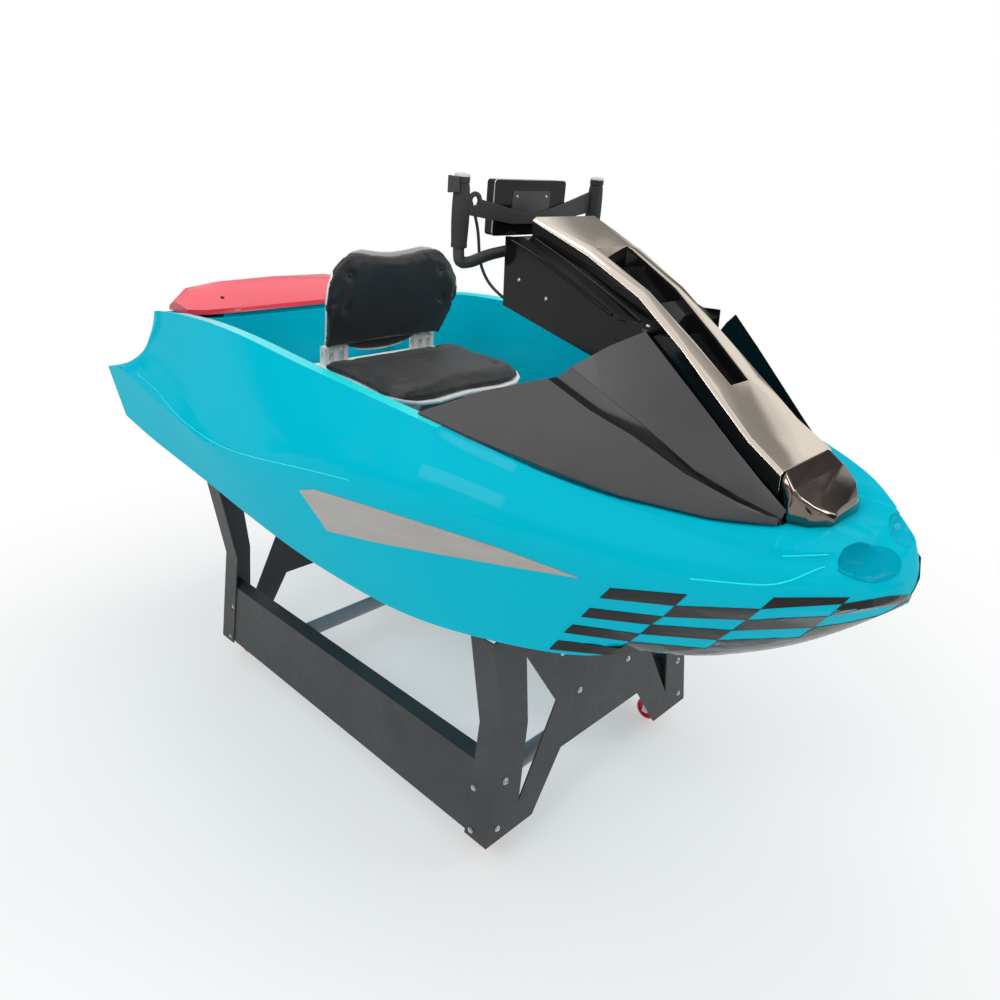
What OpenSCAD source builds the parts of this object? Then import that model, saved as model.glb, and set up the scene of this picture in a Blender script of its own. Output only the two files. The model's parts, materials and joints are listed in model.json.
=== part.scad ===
// Single-seat jet boat of the karting kind, parked on its display trolley.
// +X is the bow, +Y is port, +Z is up; the floor is z = 0. Millimetres.

/* [Hull] */
// Length of the hull from transom to stem
hull_length = 2370; // [2100:5:2600]
// Beam over the rail, amidships
hull_beam = 1200; // [1050:5:1320]
// Height of the keel above the floor, amidships
keel_height = 540; // [520:5:620]
// Height of the cockpit floor above the floor
well_floor_z = 790; // [770:5:815]
// Height of the flat joint between the hull and the deck
joint_z = 845; // [843:1:850]
// Width of the rounded coaming
coaming_w = 36; // [25:1:50]

/* [Cockpit] */
// Rear end of the cockpit
well_rear_x = -800; // [-830:5:-760]
// Front end of the cockpit
well_front_x = 500; // [460:5:520]
// Width of the engine box under the seat
engine_box_w = 560; // [500:5:600]
// Length of the engine box
engine_box_l = 800; // [700:5:880]
// Height of the engine box's top above the floor
engine_box_z = 945; // [900:5:960]
// Wall of the engine box
engine_box_t = 6; // [4:0.5:10]

/* [Seat] */
// Width of the seat pan
seat_w = 460; // [420:2:490]
// Depth of the seat pan
seat_d = 414; // [370:2:430]
// Height of the backrest above its hinge
back_h = 280; // [250:2:320]
// Forward lean of the backrest as it stands
back_lean = 14; // [0:1:20]
// Thickness of the seat shells
shell_t = 8; // [5:0.5:12]
// Thickness of the seat's pad
pad_t = 34; // [28:1:42]
// Thickness of the backrest's pad
back_pad_t = 24; // [18:1:28]
// Height of the seat's hinge above the floor
seat_hinge_z = 1084; // [1080:1:1120]
// Place of the seat's hinge along the boat
seat_hinge_x = -365; // [-400:5:-340]
// Diameter of the backrest's hinge pin
seat_pin_d = 8; // [6:0.5:10]

/* [Steering] */
// Tilt of the steering column above level
column_tilt = 5; // [0:1:8]
// Height of the steering column where it leaves the console
column_z = 1385; // [1370:1:1395]
// Diameter of the steering column
column_d = 30; // [24:1:34]
// Distance between the two grips
grip_spacing = 442; // [400:2:480]
// Diameter of the handlebar's tube
bar_d = 25; // [22:0.5:28]
// Diameter of the grips
grip_d = 34; // [31:1:38]
// Length of each grip
grip_l = 144; // [120:2:170]
// Diameter of the hole in the tether eye
eye_hole_d = 18; // [14:0.5:20]
// Thickness of the handlebar's cross plate
cross_plate_t = 6; // [4:0.5:8]
// Width of the display
display_w = 232; // [200:2:250]
// Height of the display
display_h = 116; // [100:2:130]
// Thickness of the display
display_t = 26; // [20:1:35]

/* [Jet drive] */
// Inside diameter of the jet duct
duct_d = 130; // [110:2:140]
// Wall of the jet duct
duct_wall = 9; // [6:0.5:12]
// Height of the jet's axis above the floor
jet_z = 745; // [735:1:760]
// Running gap round the impeller
impeller_gap = 3; // [2:0.5:5]
// Number of impeller blades
impeller_blades = 4; // [3:1:6]
// Diameter of the drive shaft
drive_shaft_d = 25; // [20:1:30]

/* [Trolley] */
// Distance between the outer faces of the two end frames
trolley_length = 1300; // [1200:5:1380]
// Half width of an end frame at its feet
foot_half_w = 420; // [400:2:440]
// Half width of an end frame at its knees
knee_half_w = 371; // [355:2:390]
// Height of the feet's underside
foot_z = 76; // [72:1:80]
// Height of the knees
knee_z = 374; // [350:2:400]
// Width of the folded side flange of a leg
leg_flange = 74; // [60:1:85]
// Thickness of the trolley's sheet steel
sheet_t = 4; // [3:0.5:6]
// Height of the side boards
board_h = 190; // [170:5:240]
// Diameter of the cross tubes
cross_tube_d = 48; // [38:1:60]

/* [Castors] */
// Diameter of a castor wheel
castor_d = 68; // [60:1:70]
// Width of a castor wheel
castor_w = 24; // [20:1:28]
// Distance of the wheel's axle behind its swivel
castor_trail = 20; // [14:1:24]
// Diameter of a castor's axle
castor_axle_d = 8; // [6:0.5:10]
// Diameter of a castor's swivel pin
swivel_pin_d = 12; // [10:0.5:14]
// Distance of a castor's swivel from the end frame's outer face
castor_inset_x = 60; // [55:1:70]
// Distance of a castor's swivel from the middle plane
castor_y = 352; // [340:1:360]

/* [Hidden] */

TEAL = [0, 0.72, 0.81];
RED = [0.86, 0.12, 0.2];
SLATE = [0.3, 0.3, 0.31];
GLOSS = [0.06, 0.06, 0.07];
CHROME = [0.78, 0.72, 0.65];
WHITE = [0.92, 0.92, 0.9];
PAD = [0.1, 0.1, 0.11];
STEEL = [0.62, 0.63, 0.65];
POWDER = [0.17, 0.17, 0.18];

gap = 0.3;
$fn = 48;

// How far the beam, the length and the keel are from the drawn hull
beam_k = hull_beam / 1200;
length_k = hull_length / 2370;
keel_dz = keel_height - 540;

// One row for each hull station, stern to bow. Columns: rail x, keel z, chine y,
// chine z, rail y, rail z, coaming x, coaming y, coaming z, cove depth
STATIONS = [
    [-1190, 674, 470, 774, 500, 947, -1010, 395, 1132, 74],
    [ -985, 650, 480, 748, 530, 985,  -925, 428, 1152, 72],
    [ -775, 625, 480, 723, 545, 942,  -760, 450, 1168, 66],
    [ -525, 595, 480, 693, 565, 922,  -525, 470, 1178, 55],
    [ -395, 580, 480, 673, 575, 900,  -395, 484, 1180, 40],
    [ -205, 560, 478, 649, 585, 904,  -205, 495, 1172, 25],
    [  -35, 548, 472, 630, 597, 935,   -35, 502, 1155, 10],
    [  215, 540, 455, 614, 600, 968,   215, 500, 1130,  0],
    [  345, 542, 440, 618, 588, 976,   345, 495, 1116,  0],
    [  455, 550, 425, 630, 566, 976,   455, 482, 1098,  0],
    [  555, 558, 400, 640, 532, 958,   555, 456, 1074,  0],
    [  655, 568, 365, 648, 484, 932,   650, 410, 1044,  0],
    [  785, 582, 302, 662, 412, 900,   775, 352, 1008,  0],
    [  935, 612, 214, 700, 335, 878,   905, 300,  986,  0],
    [ 1035, 682, 146, 742, 268, 868,  1000, 245,  967,  0],
    [ 1105, 752,  86, 784, 196, 863,  1050, 195,  955,  0],
    [ 1156, 806,  40, 826, 116, 861,  1092, 135,  951,  0],
    [ 1180, 834,  12, 842,  40, 861,  1100,  60,  951,  0]
];
rail_x = [for (s = STATIONS) s[0] * length_k];
rail_y = [for (s = STATIONS) s[4] * beam_k];
rail_z = [for (s = STATIONS) s[5]];
stern_x = rail_x[0];
bow_x = rail_x[len(rail_x) - 1];

wall_draft = 15;
bow_sill_z = 1020;
front_row = 9;
TOPSIDE_STEPS = 6;
pocket_l = 105;
pocket_w = 200;
duct_l = 150;
intake_x = stern_x + pocket_l + duct_l;
intake_l = 240;
intake_w = 140;
shaft_seat = 60;
grate_z = 655;
nozzle_x = stern_x + pocket_l - 25;
ball_r = 54;
cup_r = 66;
outlet_r = 34;
nozzle_l = 72;
nozzle_pin_d = 8;
hatch_hole_x = -990;
hatch_hole_l = 150;
hatch_hole_w = 480;
hatch_lip = 12;
hatch_seat_z = 1138;
hatch_well_z = 960;
hatch_hinge_x = -1057;
hatch_hinge_z = 1145;
hatch_knuckle_r = 7;
hatch_knuckle_w = 16;
hatch_pin_d = 6;
HATCH_HINGES = [-190, 190];
engine_x = -560;
engine_l = 430;
engine_w = 320;
engine_h = 130;
seat_tilt = 6;
pan_z = -42;
seat_dish_h = 8;
pad_crown = 13;
knuckle_w = 15;
pan_rear_x = -24;
hinge_block_r = 12;
back_z0 = 18;
scoop_l = 76;
scoop_d = 34;
scoop_z = 940;
panel_t = 5;
channel_drop = 2.5;
spine_t = 45;
console_half_w = 140;
console_t = 5;
console_rear_x = 288;
bearing_d = 48;
eye_y = 178;
eye_z = 97;
plate_x = -65;
bar_top = 142;
cable_d = 7;
trolley_x = -115;
pad_half = 40;
pad_z = 96;
pin_low_z = 79;
head_h = 16;

function mix(a, b, t) = a + (b - a) * t;
function cubic(a, b, c, d, t) = mix(mix(mix(a, b, t), mix(b, c, t), t),
                                   mix(mix(b, c, t), mix(c, d, t), t), t);
function mirror_y(points) = [for (p = points) [p[0], -p[1], p[2]]];
function backwards(list) = [for (i = [len(list) - 1 : -1 : 0]) list[i]];

// The two triangles between side j of section i and the same side of section k
function two_faces(i, k, j, n) =
    let (a = i * n + j, b = i * n + (j + 1) % n, c = k * n + (j + 1) % n, d = k * n + j)
    [[a, b, c], [a, c, d]];

function fan(cap) = [for (j = [1 : len(cap) - 2]) [cap[0], cap[j], cap[j + 1]]];
function total(list) = list * [for (v = list) 1];
function signed_volume(p, faces) =
    total([for (f = fan_all(faces)) p[f[0]] * cross(p[f[1]], p[f[2]])]);
function fan_all(faces) = [for (f = faces) each fan(f)];

// A polyhedron whose faces look outward, whichever way its sections run
module closed_body(points, faces) {
    inward = signed_volume(points, faces) > 0;
    polyhedron(points, inward ? [for (f = faces) backwards(f)] : faces, convexity = 8);
}

// A loft through closed sections of equal length, with flat ends
module loft(sections) {
    n = len(sections[0]);
    m = len(sections);
    closed_body([for (s = sections) each s], concat(
        [[for (j = [n - 1 : -1 : 0]) j]],
        [for (i = [0 : m - 2], j = [0 : n - 1]) each two_faces(i, i + 1, j, n)],
        [[for (j = [0 : n - 1]) (m - 1) * n + j]]));
}

// A loft whose last section joins its first
module ring_loft(sections) {
    n = len(sections[0]);
    m = len(sections);
    closed_body([for (s = sections) each s],
        [for (i = [0 : m - 1], j = [0 : n - 1]) each two_faces(i, (i + 1) % m, j, n)]);
}

// A round tube of one size swept along points, with flat ends
function unit(v) = v / norm(v);
function tangent(path, i) =
    unit(path[min(i + 1, len(path) - 1)] - path[max(i - 1, 0)]);
function ring_at(c, t, up, r, sides) =
    let (a = unit(cross(t, up)), b = cross(a, t))
    [for (k = [0 : sides - 1])
        c + r * (cos(360 * k / sides) * a + sin(360 * k / sides) * b)];
module swept_tube(path, r, sides, up) {
    loft([for (i = [0 : len(path) - 1]) ring_at(path[i], tangent(path, i), up, r, sides)]);
}

// Points on a smooth curve through the given ones, some to each span
function spline_point(p, i, t) =
    let (a = p[max(i - 1, 0)], b = p[i], c = p[i + 1], d = p[min(i + 2, len(p) - 1)])
    0.5 * (2 * b + (c - a) * t + (2 * a - 5 * b + 4 * c - d) * t * t
           + (3 * b - a - 3 * c + d) * t * t * t);
function smooth_path(p, steps) = concat(
    [for (i = [0 : len(p) - 2], k = [0 : steps - 1]) spline_point(p, i, k / steps)],
    [p[len(p) - 1]]);

// Hull

function chine(i) = [rail_x[i], STATIONS[i][2] * beam_k, STATIONS[i][3]];
function rail(i) = [rail_x[i], rail_y[i], rail_z[i]];
function joint_point(i) = mix(chine(i), rail(i), (joint_z - chine(i)[2]) / (rail_z[i] - chine(i)[2]));
function hull_section(i) =
    let (c = chine(i), j = joint_point(i), keel = STATIONS[i][1] + keel_dz)
    [[c[0], 0, keel], c, j, [j[0], -j[1], j[2]], [c[0], -c[1], c[2]]];

// Inner half width of the cockpit wall at a station
function wall_y(i) = STATIONS[i][7] * beam_k - coaming_w - wall_draft;
well_rows = [for (i = [0 : len(STATIONS) - 1])
    if (rail_x[i] > well_rear_x + 20 && rail_x[i] < well_front_x - 20) [rail_x[i], wall_y(i)]];
rear_wall_y = well_rows[0][1];
front_wall_y = well_rows[len(well_rows) - 1][1];
well_plan = concat([[well_rear_x, rear_wall_y]], well_rows, [[well_front_x, front_wall_y]]);

module well_outline() {
    polygon(concat(well_plan, backwards([for (p = well_plan) [p[0], -p[1]]])));
}

module hull_shell() {
    color(TEAL) difference() {
        loft([for (i = [0 : len(STATIONS) - 1]) hull_section(i)]);
        translate([0, 0, well_floor_z]) linear_extrude(200) well_outline();
        // Pocket for the steering nozzle, open at the transom and below
        translate([stern_x - 1, -pocket_w / 2, 400])
            cube([pocket_l + 1, pocket_w, jet_z + pocket_w / 2 - 400]);
        // Seat of the jet duct
        translate([stern_x + pocket_l - 1, 0, jet_z]) rotate([0, 90, 0])
            cylinder(d = duct_d + 2 * duct_wall + 2 * gap, h = duct_l + 1);
        // Mouth of the intake
        translate([intake_x, -intake_w / 2, 400])
            cube([intake_l, intake_w, jet_z + duct_d / 2 - 400]);
        // Shaft bearing in front of the intake
        translate([intake_x + intake_l - 1, 0, jet_z]) rotate([0, 90, 0])
            cylinder(d = drive_shaft_d + 0.1, h = shaft_seat + 1);
    }
}

// Deck

function deck_section(joint, rail, crest, inner, sill, cove) =
    let (c = cove / 100,
         a = [mix(rail[0], crest[0], c), mix(rail[1], crest[1], c), rail[2] + mix(60, 12, c)],
         b = [mix(crest[0], rail[0], 0.2 * (1 - c)), mix(crest[1], rail[1], 0.2 * (1 - c)),
              crest[2] - mix(30, 70, c)])
    concat(
        [joint],
        [for (k = [0 : TOPSIDE_STEPS]) cubic(rail, a, b, crest, k / TOPSIDE_STEPS)],
        [inner, sill]);

function crest(i) =
    let (s = STATIONS[i]) [s[6] * length_k, s[7] * beam_k, s[8]];
function sill_x(i) = min(max(crest(i)[0], well_rear_x), well_front_x);
function sill_y(i) =
    crest(i)[0] < well_rear_x ? rear_wall_y * crest(i)[1] / crest(2)[1]
    : crest(i)[0] > well_front_x ? front_wall_y * crest(i)[1] / crest(front_row)[1]
    : wall_y(i);
function side_section(i) =
    deck_section(joint_point(i), rail(i), crest(i),
        [sill_x(i), crest(i)[0] < well_rear_x || crest(i)[0] > well_front_x
            ? sill_y(i) : sill_y(i) + wall_draft, max(crest(i)[2] - 4, bow_sill_z)],
        [sill_x(i), sill_y(i), joint_z], STATIONS[i][9]);
function centre_section(x, z, crest_x, crest_z, sill_x, inner_z, y, cove) =
    deck_section([x, y, joint_z], [x, y, z], [crest_x, y * 0.92, crest_z],
        [sill_x, y * 0.8, inner_z], [sill_x, y * 0.8, joint_z], cove);

half_deck = concat(
    [centre_section(stern_x, rail_z[0], -1040, 1128, well_rear_x, 1124, 250, 90)],
    [for (i = [0 : len(STATIONS) - 1]) side_section(i)]);
deck_ring = concat(
    [centre_section(stern_x, rail_z[0], -1040, 1128, well_rear_x, 1124, 0, 90)],
    half_deck,
    [centre_section(bow_x, rail_z[len(rail_z) - 1], 1098, 951, well_front_x, bow_sill_z, 0, 0)],
    backwards([for (s = half_deck) mirror_y(s)]));

module deck() {
    color(TEAL) difference() {
        union() {
            ring_loft(deck_ring);
            translate([hatch_hole_x - hatch_lip, -hatch_hole_w / 2 - hatch_lip, 1050])
                cube([hatch_hole_l + 2 * hatch_lip, hatch_hole_w + 2 * hatch_lip, hatch_seat_z - 1050]);
            // Hinge knuckles
            for (y = HATCH_HINGES) translate([hatch_hinge_x, y - hatch_knuckle_w / 2, hatch_hinge_z]) {
                rotate([-90, 0, 0]) cylinder(r = hatch_knuckle_r, h = hatch_knuckle_w);
                translate([-hatch_knuckle_r, 0, -50]) cube([2 * hatch_knuckle_r, hatch_knuckle_w, 50]);
            }
        }
        for (y = HATCH_HINGES) translate([hatch_hinge_x, y - hatch_knuckle_w / 2 - 1, hatch_hinge_z])
            rotate([-90, 0, 0]) cylinder(d = hatch_pin_d + 0.1, h = hatch_knuckle_w + 2);
        translate([hatch_hole_x, -hatch_hole_w / 2, hatch_well_z])
            cube([hatch_hole_l, hatch_hole_w, 400]);
        bow_scoops();
    }
}

module bow_scoops() {
    // A lens turned about its long axis, one each side of the stem
    r = (scoop_l ^ 2 + scoop_d ^ 2) / (2 * scoop_d);
    both_sides() translate([1127 * length_k, 84, scoop_z]) rotate([-93, 0, 20])
        rotate_extrude($fn = 48) intersection() {
            translate([scoop_d - r, 0]) circle(r = r, $fn = 96);
            translate([0, -scoop_l]) square([scoop_d, 2 * scoop_l]);
        }
}

// Stern hatch

// Columns: y, front x, rear x, crest x, crest height over the seat
HATCH_ROWS = [
    [0, -812, -1046, -960, 84],
    [200, -814, -1044, -960, 80],
    [305, -820, -1034, -965, 66],
    [350, -866, -1000, -955, 30]
];
function hatch_section(r, side) =
    let (z = hatch_seat_z + gap, y = side * r[0])
    [[r[1], y, z], [r[1] - 4, y, z + 14], [mix(r[1], r[3], 0.5), y, z + r[4] * 0.8],
     [r[3], y, z + r[4]], [r[2] + 6, y, z + r[4] * 0.5], [r[2], y, z]];
module stern_hatch() {
    color(RED) {
        loft(concat(backwards([for (r = HATCH_ROWS) hatch_section(r, 1)]),
            [for (i = [1 : len(HATCH_ROWS) - 1]) hatch_section(HATCH_ROWS[i], -1)]));
        for (y = HATCH_HINGES, side = [-1, 1]) translate([hatch_hinge_x, y, hatch_hinge_z]) {
            translate([0, side * (hatch_knuckle_w + gap) - hatch_knuckle_w / 2, 0]) {
                rotate([-90, 0, 0]) cylinder(r = hatch_knuckle_r - 0.5, h = hatch_knuckle_w);
                translate([0, 0, -1]) cube([16, hatch_knuckle_w, hatch_knuckle_r]);
            }
            rotate([-90, 0, 0]) translate([0, 0, -1.5 * hatch_knuckle_w])
                cylinder(d = hatch_pin_d, h = 3 * hatch_knuckle_w);
        }
    }
}

// Engine box and engine

module engine_box() {
    x = well_rear_x + 12;
    color(WHITE) difference() {
        translate([x, -engine_box_w / 2, well_floor_z])
            cube([engine_box_l, engine_box_w, engine_box_z - well_floor_z]);
        translate([x + engine_box_t, -engine_box_w / 2 + engine_box_t, well_floor_z - 1])
            cube([engine_box_l - 2 * engine_box_t, engine_box_w - 2 * engine_box_t,
                  engine_box_z - engine_box_t - well_floor_z + 1]);
    }
}

module engine() {
    color(STEEL) translate([engine_x, -engine_w / 2, well_floor_z])
        cube([engine_l, engine_w, engine_h]);
}

// Seat

module seat_frame() {
    translate([seat_hinge_x, 0, seat_hinge_z]) rotate([0, seat_tilt, 0]) children();
}
module back_frame() {
    translate([seat_hinge_x, 0, seat_hinge_z]) rotate([0, back_lean, 0]) children();
}

// A shell between two grids of points, closed round its edge
function quad(a, b, c, d) = [[a, b, c], [a, c, d]];
module grid_shell(front, back) {
    r = len(front);
    c = len(front[0]);
    n = r * c;
    last = (r - 1) * c;
    closed_body([for (s = front) each s, for (s = back) each s], concat(
        [for (i = [0 : r - 2], j = [0 : c - 2])
            each quad(i * c + j, i * c + j + 1, (i + 1) * c + j + 1, (i + 1) * c + j)],
        [for (i = [0 : r - 2], j = [0 : c - 2])
            each quad(n + i * c + j, n + (i + 1) * c + j, n + (i + 1) * c + j + 1, n + i * c + j + 1)],
        [for (j = [0 : c - 2]) each quad(n + j, n + j + 1, j + 1, j)],
        [for (j = [0 : c - 2]) each quad(last + j, last + j + 1, n + last + j + 1, n + last + j)],
        [for (i = [0 : r - 2]) each quad(i * c, (i + 1) * c, n + (i + 1) * c, n + i * c)],
        [for (i = [0 : r - 2])
            each quad(n + (i + 1) * c - 1, n + (i + 2) * c - 1, (i + 2) * c - 1, (i + 1) * c - 1)]));
}
// A grid with its outer rows and columns drawn in, and the whole moved
function drawn_in(g, k) =
    let (r = len(g), c = len(g[0]),
         h = concat([mix(g[0], g[1], k)], [for (i = [1 : r - 2]) g[i]], [mix(g[r - 1], g[r - 2], k)]))
    [for (s = h) concat([mix(s[0], s[1], k)], [for (j = [1 : c - 2]) s[j]], [mix(s[c - 1], s[c - 2], k)])];
function moved(g, d) = [for (s = g) [for (p = s) p + d]];

// Seat: place across, then how far the front edge stands back at that place
SEAT_EDGE = [[-1, 60], [-0.9, 26], [-0.75, 6], [-0.5, 0], [-0.25, 8], [0, 14],
             [0.25, 8], [0.5, 0], [0.75, 6], [0.9, 26], [1, 60]];
// Seat: part of the depth, half width as part of the seat's, how much of the dish
SEAT_ROWS = [[0, 0.97, 0], [0.12, 0.975, 0], [0.3, 0.97, 0.6], [0.5, 0.965, 1], [0.7, 0.985, 1],
             [0.85, 1, 1.1], [1, 0.99, 1.4]];
function seat_dish(u, k) = seat_dish_h * k * max(0, (abs(u) - 0.6) / 0.4) ^ 1.5;
function seat_point(e, r, lift) =
    [mix(pan_rear_x, seat_d - e[1] * r[0], r[0]), e[0] * r[1] * seat_w / 2,
     pan_z + seat_dish(e[0], r[2]) + lift * (r[0] == 1 ? 1 : 0)];
seat_grid = [for (r = SEAT_ROWS) [for (e = SEAT_EDGE) seat_point(e, r, 6)]];
function under_pan(x) = [seat_hinge_x + x * cos(seat_tilt) + (pan_z - shell_t) * sin(seat_tilt),
                         seat_hinge_z - x * sin(seat_tilt) + (pan_z - shell_t) * cos(seat_tilt)];

module seat_mount() {
    a = under_pan(40);
    b = under_pan(290);
    color(STEEL) for (side = [-1, 1]) translate([0, side * 95 - 15, 0])
        rotate([90, 0, 0]) mirror([0, 0, 1]) linear_extrude(30)
            polygon([[a[0], engine_box_z], [b[0], engine_box_z], b - [0, 0.1], a - [0, 0.1]]);
}

module seat_pan() {
    color(WHITE) seat_frame() grid_shell(seat_grid, moved(seat_grid, [0, 0, -shell_t]));
}

module seat_pad() {
    base = drawn_in([for (i = [1 : len(seat_grid) - 1]) seat_grid[i]], 0.3);
    r = len(base) - 1;
    c = len(base[0]) - 1;
    top = [for (i = [0 : r]) [for (j = [0 : c])
        let (side = j == 0 || j == c ? 1 : j == 1 || j == c - 1 ? 0.3 : 0,
             rim = max(side, i == r ? 1 : 0, i == 0 ? 1.4 : 0))
        [base[i][j][0], base[i][j][1], pan_z + pad_t - pad_crown * rim]]];
    color(PAD) seat_frame() grid_shell(top, moved(base, [0, 0, 2 * gap]));
}

// Knuckles of the seat's hinge, one row for each: distance from the middle
SEAT_KNUCKLES = [128, 160, 192];
BACK_KNUCKLES = [144, 176];
module seat_hinges() {
    color(WHITE) seat_frame() for (side = [-1, 1], y = SEAT_KNUCKLES)
        translate([0, side * y - knuckle_w / 2, 0]) rotate([-90, 0, 0]) difference() {
            union() {
                cylinder(r = hinge_block_r, h = knuckle_w);
                translate([-hinge_block_r, 0, 0]) cube([2 * hinge_block_r, -pan_z, knuckle_w]);
            }
            translate([0, 0, -1]) cylinder(d = seat_pin_d + 0.1, h = knuckle_w + 2);
        }
}

// Backrest: part of the height, half width as part of the seat's, forward curl
BACK_ROWS = [[0, 0.86, 14], [0.07, 0.878, 19.5], [0.16, 0.9, 26], [0.36, 0.96, 42], [0.55, 1, 50], [0.72, 0.97, 44],
             [0.87, 0.87, 30], [1, 0.7, 16]];
// Backrest: place across, then how far the top edge is below its highest
BACK_EDGE = [[-1, 16], [-0.85, 3], [-0.65, 0], [-0.4, 7], [-0.2, 12], [0, 14],
             [0.2, 12], [0.4, 7], [0.65, 0], [0.85, 3], [1, 16]];
function back_point(e, r) =
    [r[2] * e[0] ^ 2, e[0] * r[1] * seat_w / 2, mix(back_z0, back_h - e[1] * r[0], r[0])];
back_grid = [for (r = BACK_ROWS) [for (e = BACK_EDGE) back_point(e, r)]];

module backrest_shell() {
    color(WHITE) back_frame() {
        grid_shell(back_grid, moved(back_grid, [-shell_t, 0, 0]));
        for (side = [-1, 1]) {
            // Hinge knuckles and their pin
            for (y = BACK_KNUCKLES) translate([0, side * y - knuckle_w / 2, 0]) rotate([-90, 0, 0]) {
                cylinder(r = hinge_block_r - 1, h = knuckle_w);
                translate([-shell_t / 2, -back_z0 - 12, 0]) cube([shell_t * 1.5, back_z0 + 12, knuckle_w]);
            }
            translate([0, side * 160, 0]) rotate([90, 0, 0])
                translate([0, 0, -SEAT_KNUCKLES[2] + 160 - knuckle_w / 2])
                    cylinder(d = seat_pin_d, h = SEAT_KNUCKLES[2] - SEAT_KNUCKLES[0] + knuckle_w);
        }
    }
}

module backrest_pad() {
    base = drawn_in([for (i = [1 : len(back_grid) - 1]) back_grid[i]], 0.3);
    color(PAD) back_frame() grid_shell(moved(base, [back_pad_t, 0, 0]), moved(base, [3 * gap, 0, 0]));
}

// Foredeck

// One row for each section, rear to bow. Columns: place on the crest as a station
// number, distance inside it, height over it, then x, y, z of the panel's inner edge,
// of the fin's outer edge and of the fin's inner edge
PANEL_ROWS = [
    [ 8.5,  14,  6, 560, 296, 1182, 590, 262, 1204, 684, 165, 1272],
    [ 9.6,  14,  6, 652, 276, 1134, 665, 248, 1162, 748, 158, 1212],
    [11.0,  16,  6, 735, 252, 1099, 757, 230, 1110, 815, 148, 1148],
    [12.0,  30,  4, 835, 226, 1046, 845, 212, 1054, 880, 139, 1085],
    [13.0,  62,  1, 915, 184, 1006, 920, 172, 1012, 940, 130, 1030],
    [13.9, 104,  3, 983, 142,  976, 984, 133,  979, 985, 121,  990]
];
function crest_at(u) = mix(crest(floor(u)), crest(ceil(u)), u - floor(u));
function sided(p, side) = [p[0], side * p[1], p[2]];
function outer_edge(r) = let (p = crest_at(r[0])) [p[0] - 8, p[1] - r[1], p[2] + r[2]];
function inner_edge(r) = [r[3], r[4], r[5]];
function fin_outer(r) = [r[6], r[7], r[8]];
function fin_inner(r) = [r[9], r[10], r[11]];
module strip(outer, inner, bulge) {
    g = [for (i = [0 : len(outer) - 1]) [outer[i], (outer[i] + inner[i]) / 2 + [0, 0, bulge], inner[i]]];
    grid_shell(g, moved(g, [0, 0, -panel_t]));
}
module both_sides() {
    children();
    mirror([0, 1, 0]) children();
}
module foredeck_panels() {
    color(SLATE) both_sides()
        strip([for (r = PANEL_ROWS) outer_edge(r)], [for (r = PANEL_ROWS) inner_edge(r)], 8);
}
module foredeck_fins() {
    color(SLATE) both_sides()
        strip([for (r = PANEL_ROWS) fin_outer(r)], [for (r = PANEL_ROWS) fin_inner(r)], 5);
}
// Sunk channel between a panel and its fin
module foredeck_channels() {
    color(GLOSS) both_sides() strip(
        [for (r = PANEL_ROWS) inner_edge(r) + [0, -gap, -channel_drop]],
        [for (r = PANEL_ROWS) fin_outer(r) + [0, gap, -channel_drop]], -6);
}

// Nose spine: columns are x, half width, top z
SPINE_ROWS = [
    [338, 108, 1458], [480, 94, 1396], [605, 84, 1326], [715, 86, 1240],
    [799, 95, 1170], [886, 102, 1097], [958, 107, 1052]
];
function box_section(r, depth) =
    [[r[0], r[1], r[2] - depth], [r[0], r[1], r[2] - 8], [r[0], r[1] - 10, r[2]],
     [r[0], -r[1] + 10, r[2]], [r[0], -r[1], r[2] - 8], [r[0], -r[1], r[2] - depth]];
module nose_spine() {
    color(CHROME) difference() {
        loft([for (r = SPINE_ROWS) box_section(r, spine_t)]);
        translate([0, 0, 1000]) linear_extrude(600)
            polygon([[468, 55], [800, 33], [800, -33], [468, -55]]);
    }
}

// Sections of the nose cap: x, half width, top z
CAP_ROWS = [[958.3, 107, 1052], [985, 119, 1026], [1020, 100, 1002], [1046, 58, 982]];
// Height of the deck's middle in front of the cockpit
function bow_deck_z(x) = mix(951, bow_sill_z, (1098 * length_k - x) / (1098 * length_k - well_front_x));
function cap_section(r) =
    let (z = bow_deck_z(r[0]) + gap)
    [[r[0], r[1], z], [r[0], r[1] - 2, r[2] - 10], [r[0], r[1] - 12, r[2]],
     [r[0], -r[1] + 12, r[2]], [r[0], -r[1] + 2, r[2] - 10], [r[0], -r[1], z]];
module nose_cap() {
    color(GLOSS) loft([for (r = CAP_ROWS) cap_section(r)]);
}

// Console
console_side = [[290, 1418], [285, 1273], [545, 1198], [662, 1264], [605, 1286],
                [480, 1356], [345, 1418]];
// Shoulder between a console side and the spine. Columns: x, spine's half width, z
SHOULDER_ROWS = [[342, 107.7, 1418], [480, 94, 1356], [605, 84, 1286], [660, 85, 1263]];
module console_plate(side) {
    color(GLOSS) translate([0, side > 0 ? console_half_w - console_t : -console_half_w, 0])
        rotate([90, 0, 0]) mirror([0, 0, 1]) linear_extrude(console_t) polygon(console_side);
}
module console_sides() {
    console_plate(-1);
    console_plate(1);
    top = [for (r = SHOULDER_ROWS) [[r[0], console_half_w - 1, r[2]], [r[0], r[1] + gap, r[2]]]];
    color(GLOSS) both_sides() grid_shell(top, moved(top, [0, 0, -console_t]));
}
module console_rear() {
    half = console_half_w - console_t - gap;
    color(GLOSS) difference() {
        translate([0, half, 0]) rotate([90, 0, 0]) linear_extrude(2 * half)
            polygon([[290, 1418], [285, 1273], [545, 1198], [548, 1206], [293, 1281], [298, 1412]]);
        column_frame() translate([-30, 0, 0]) rotate([0, 90, 0]) cylinder(d = bearing_d + 2 * gap, h = 60);
    }
}
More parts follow.
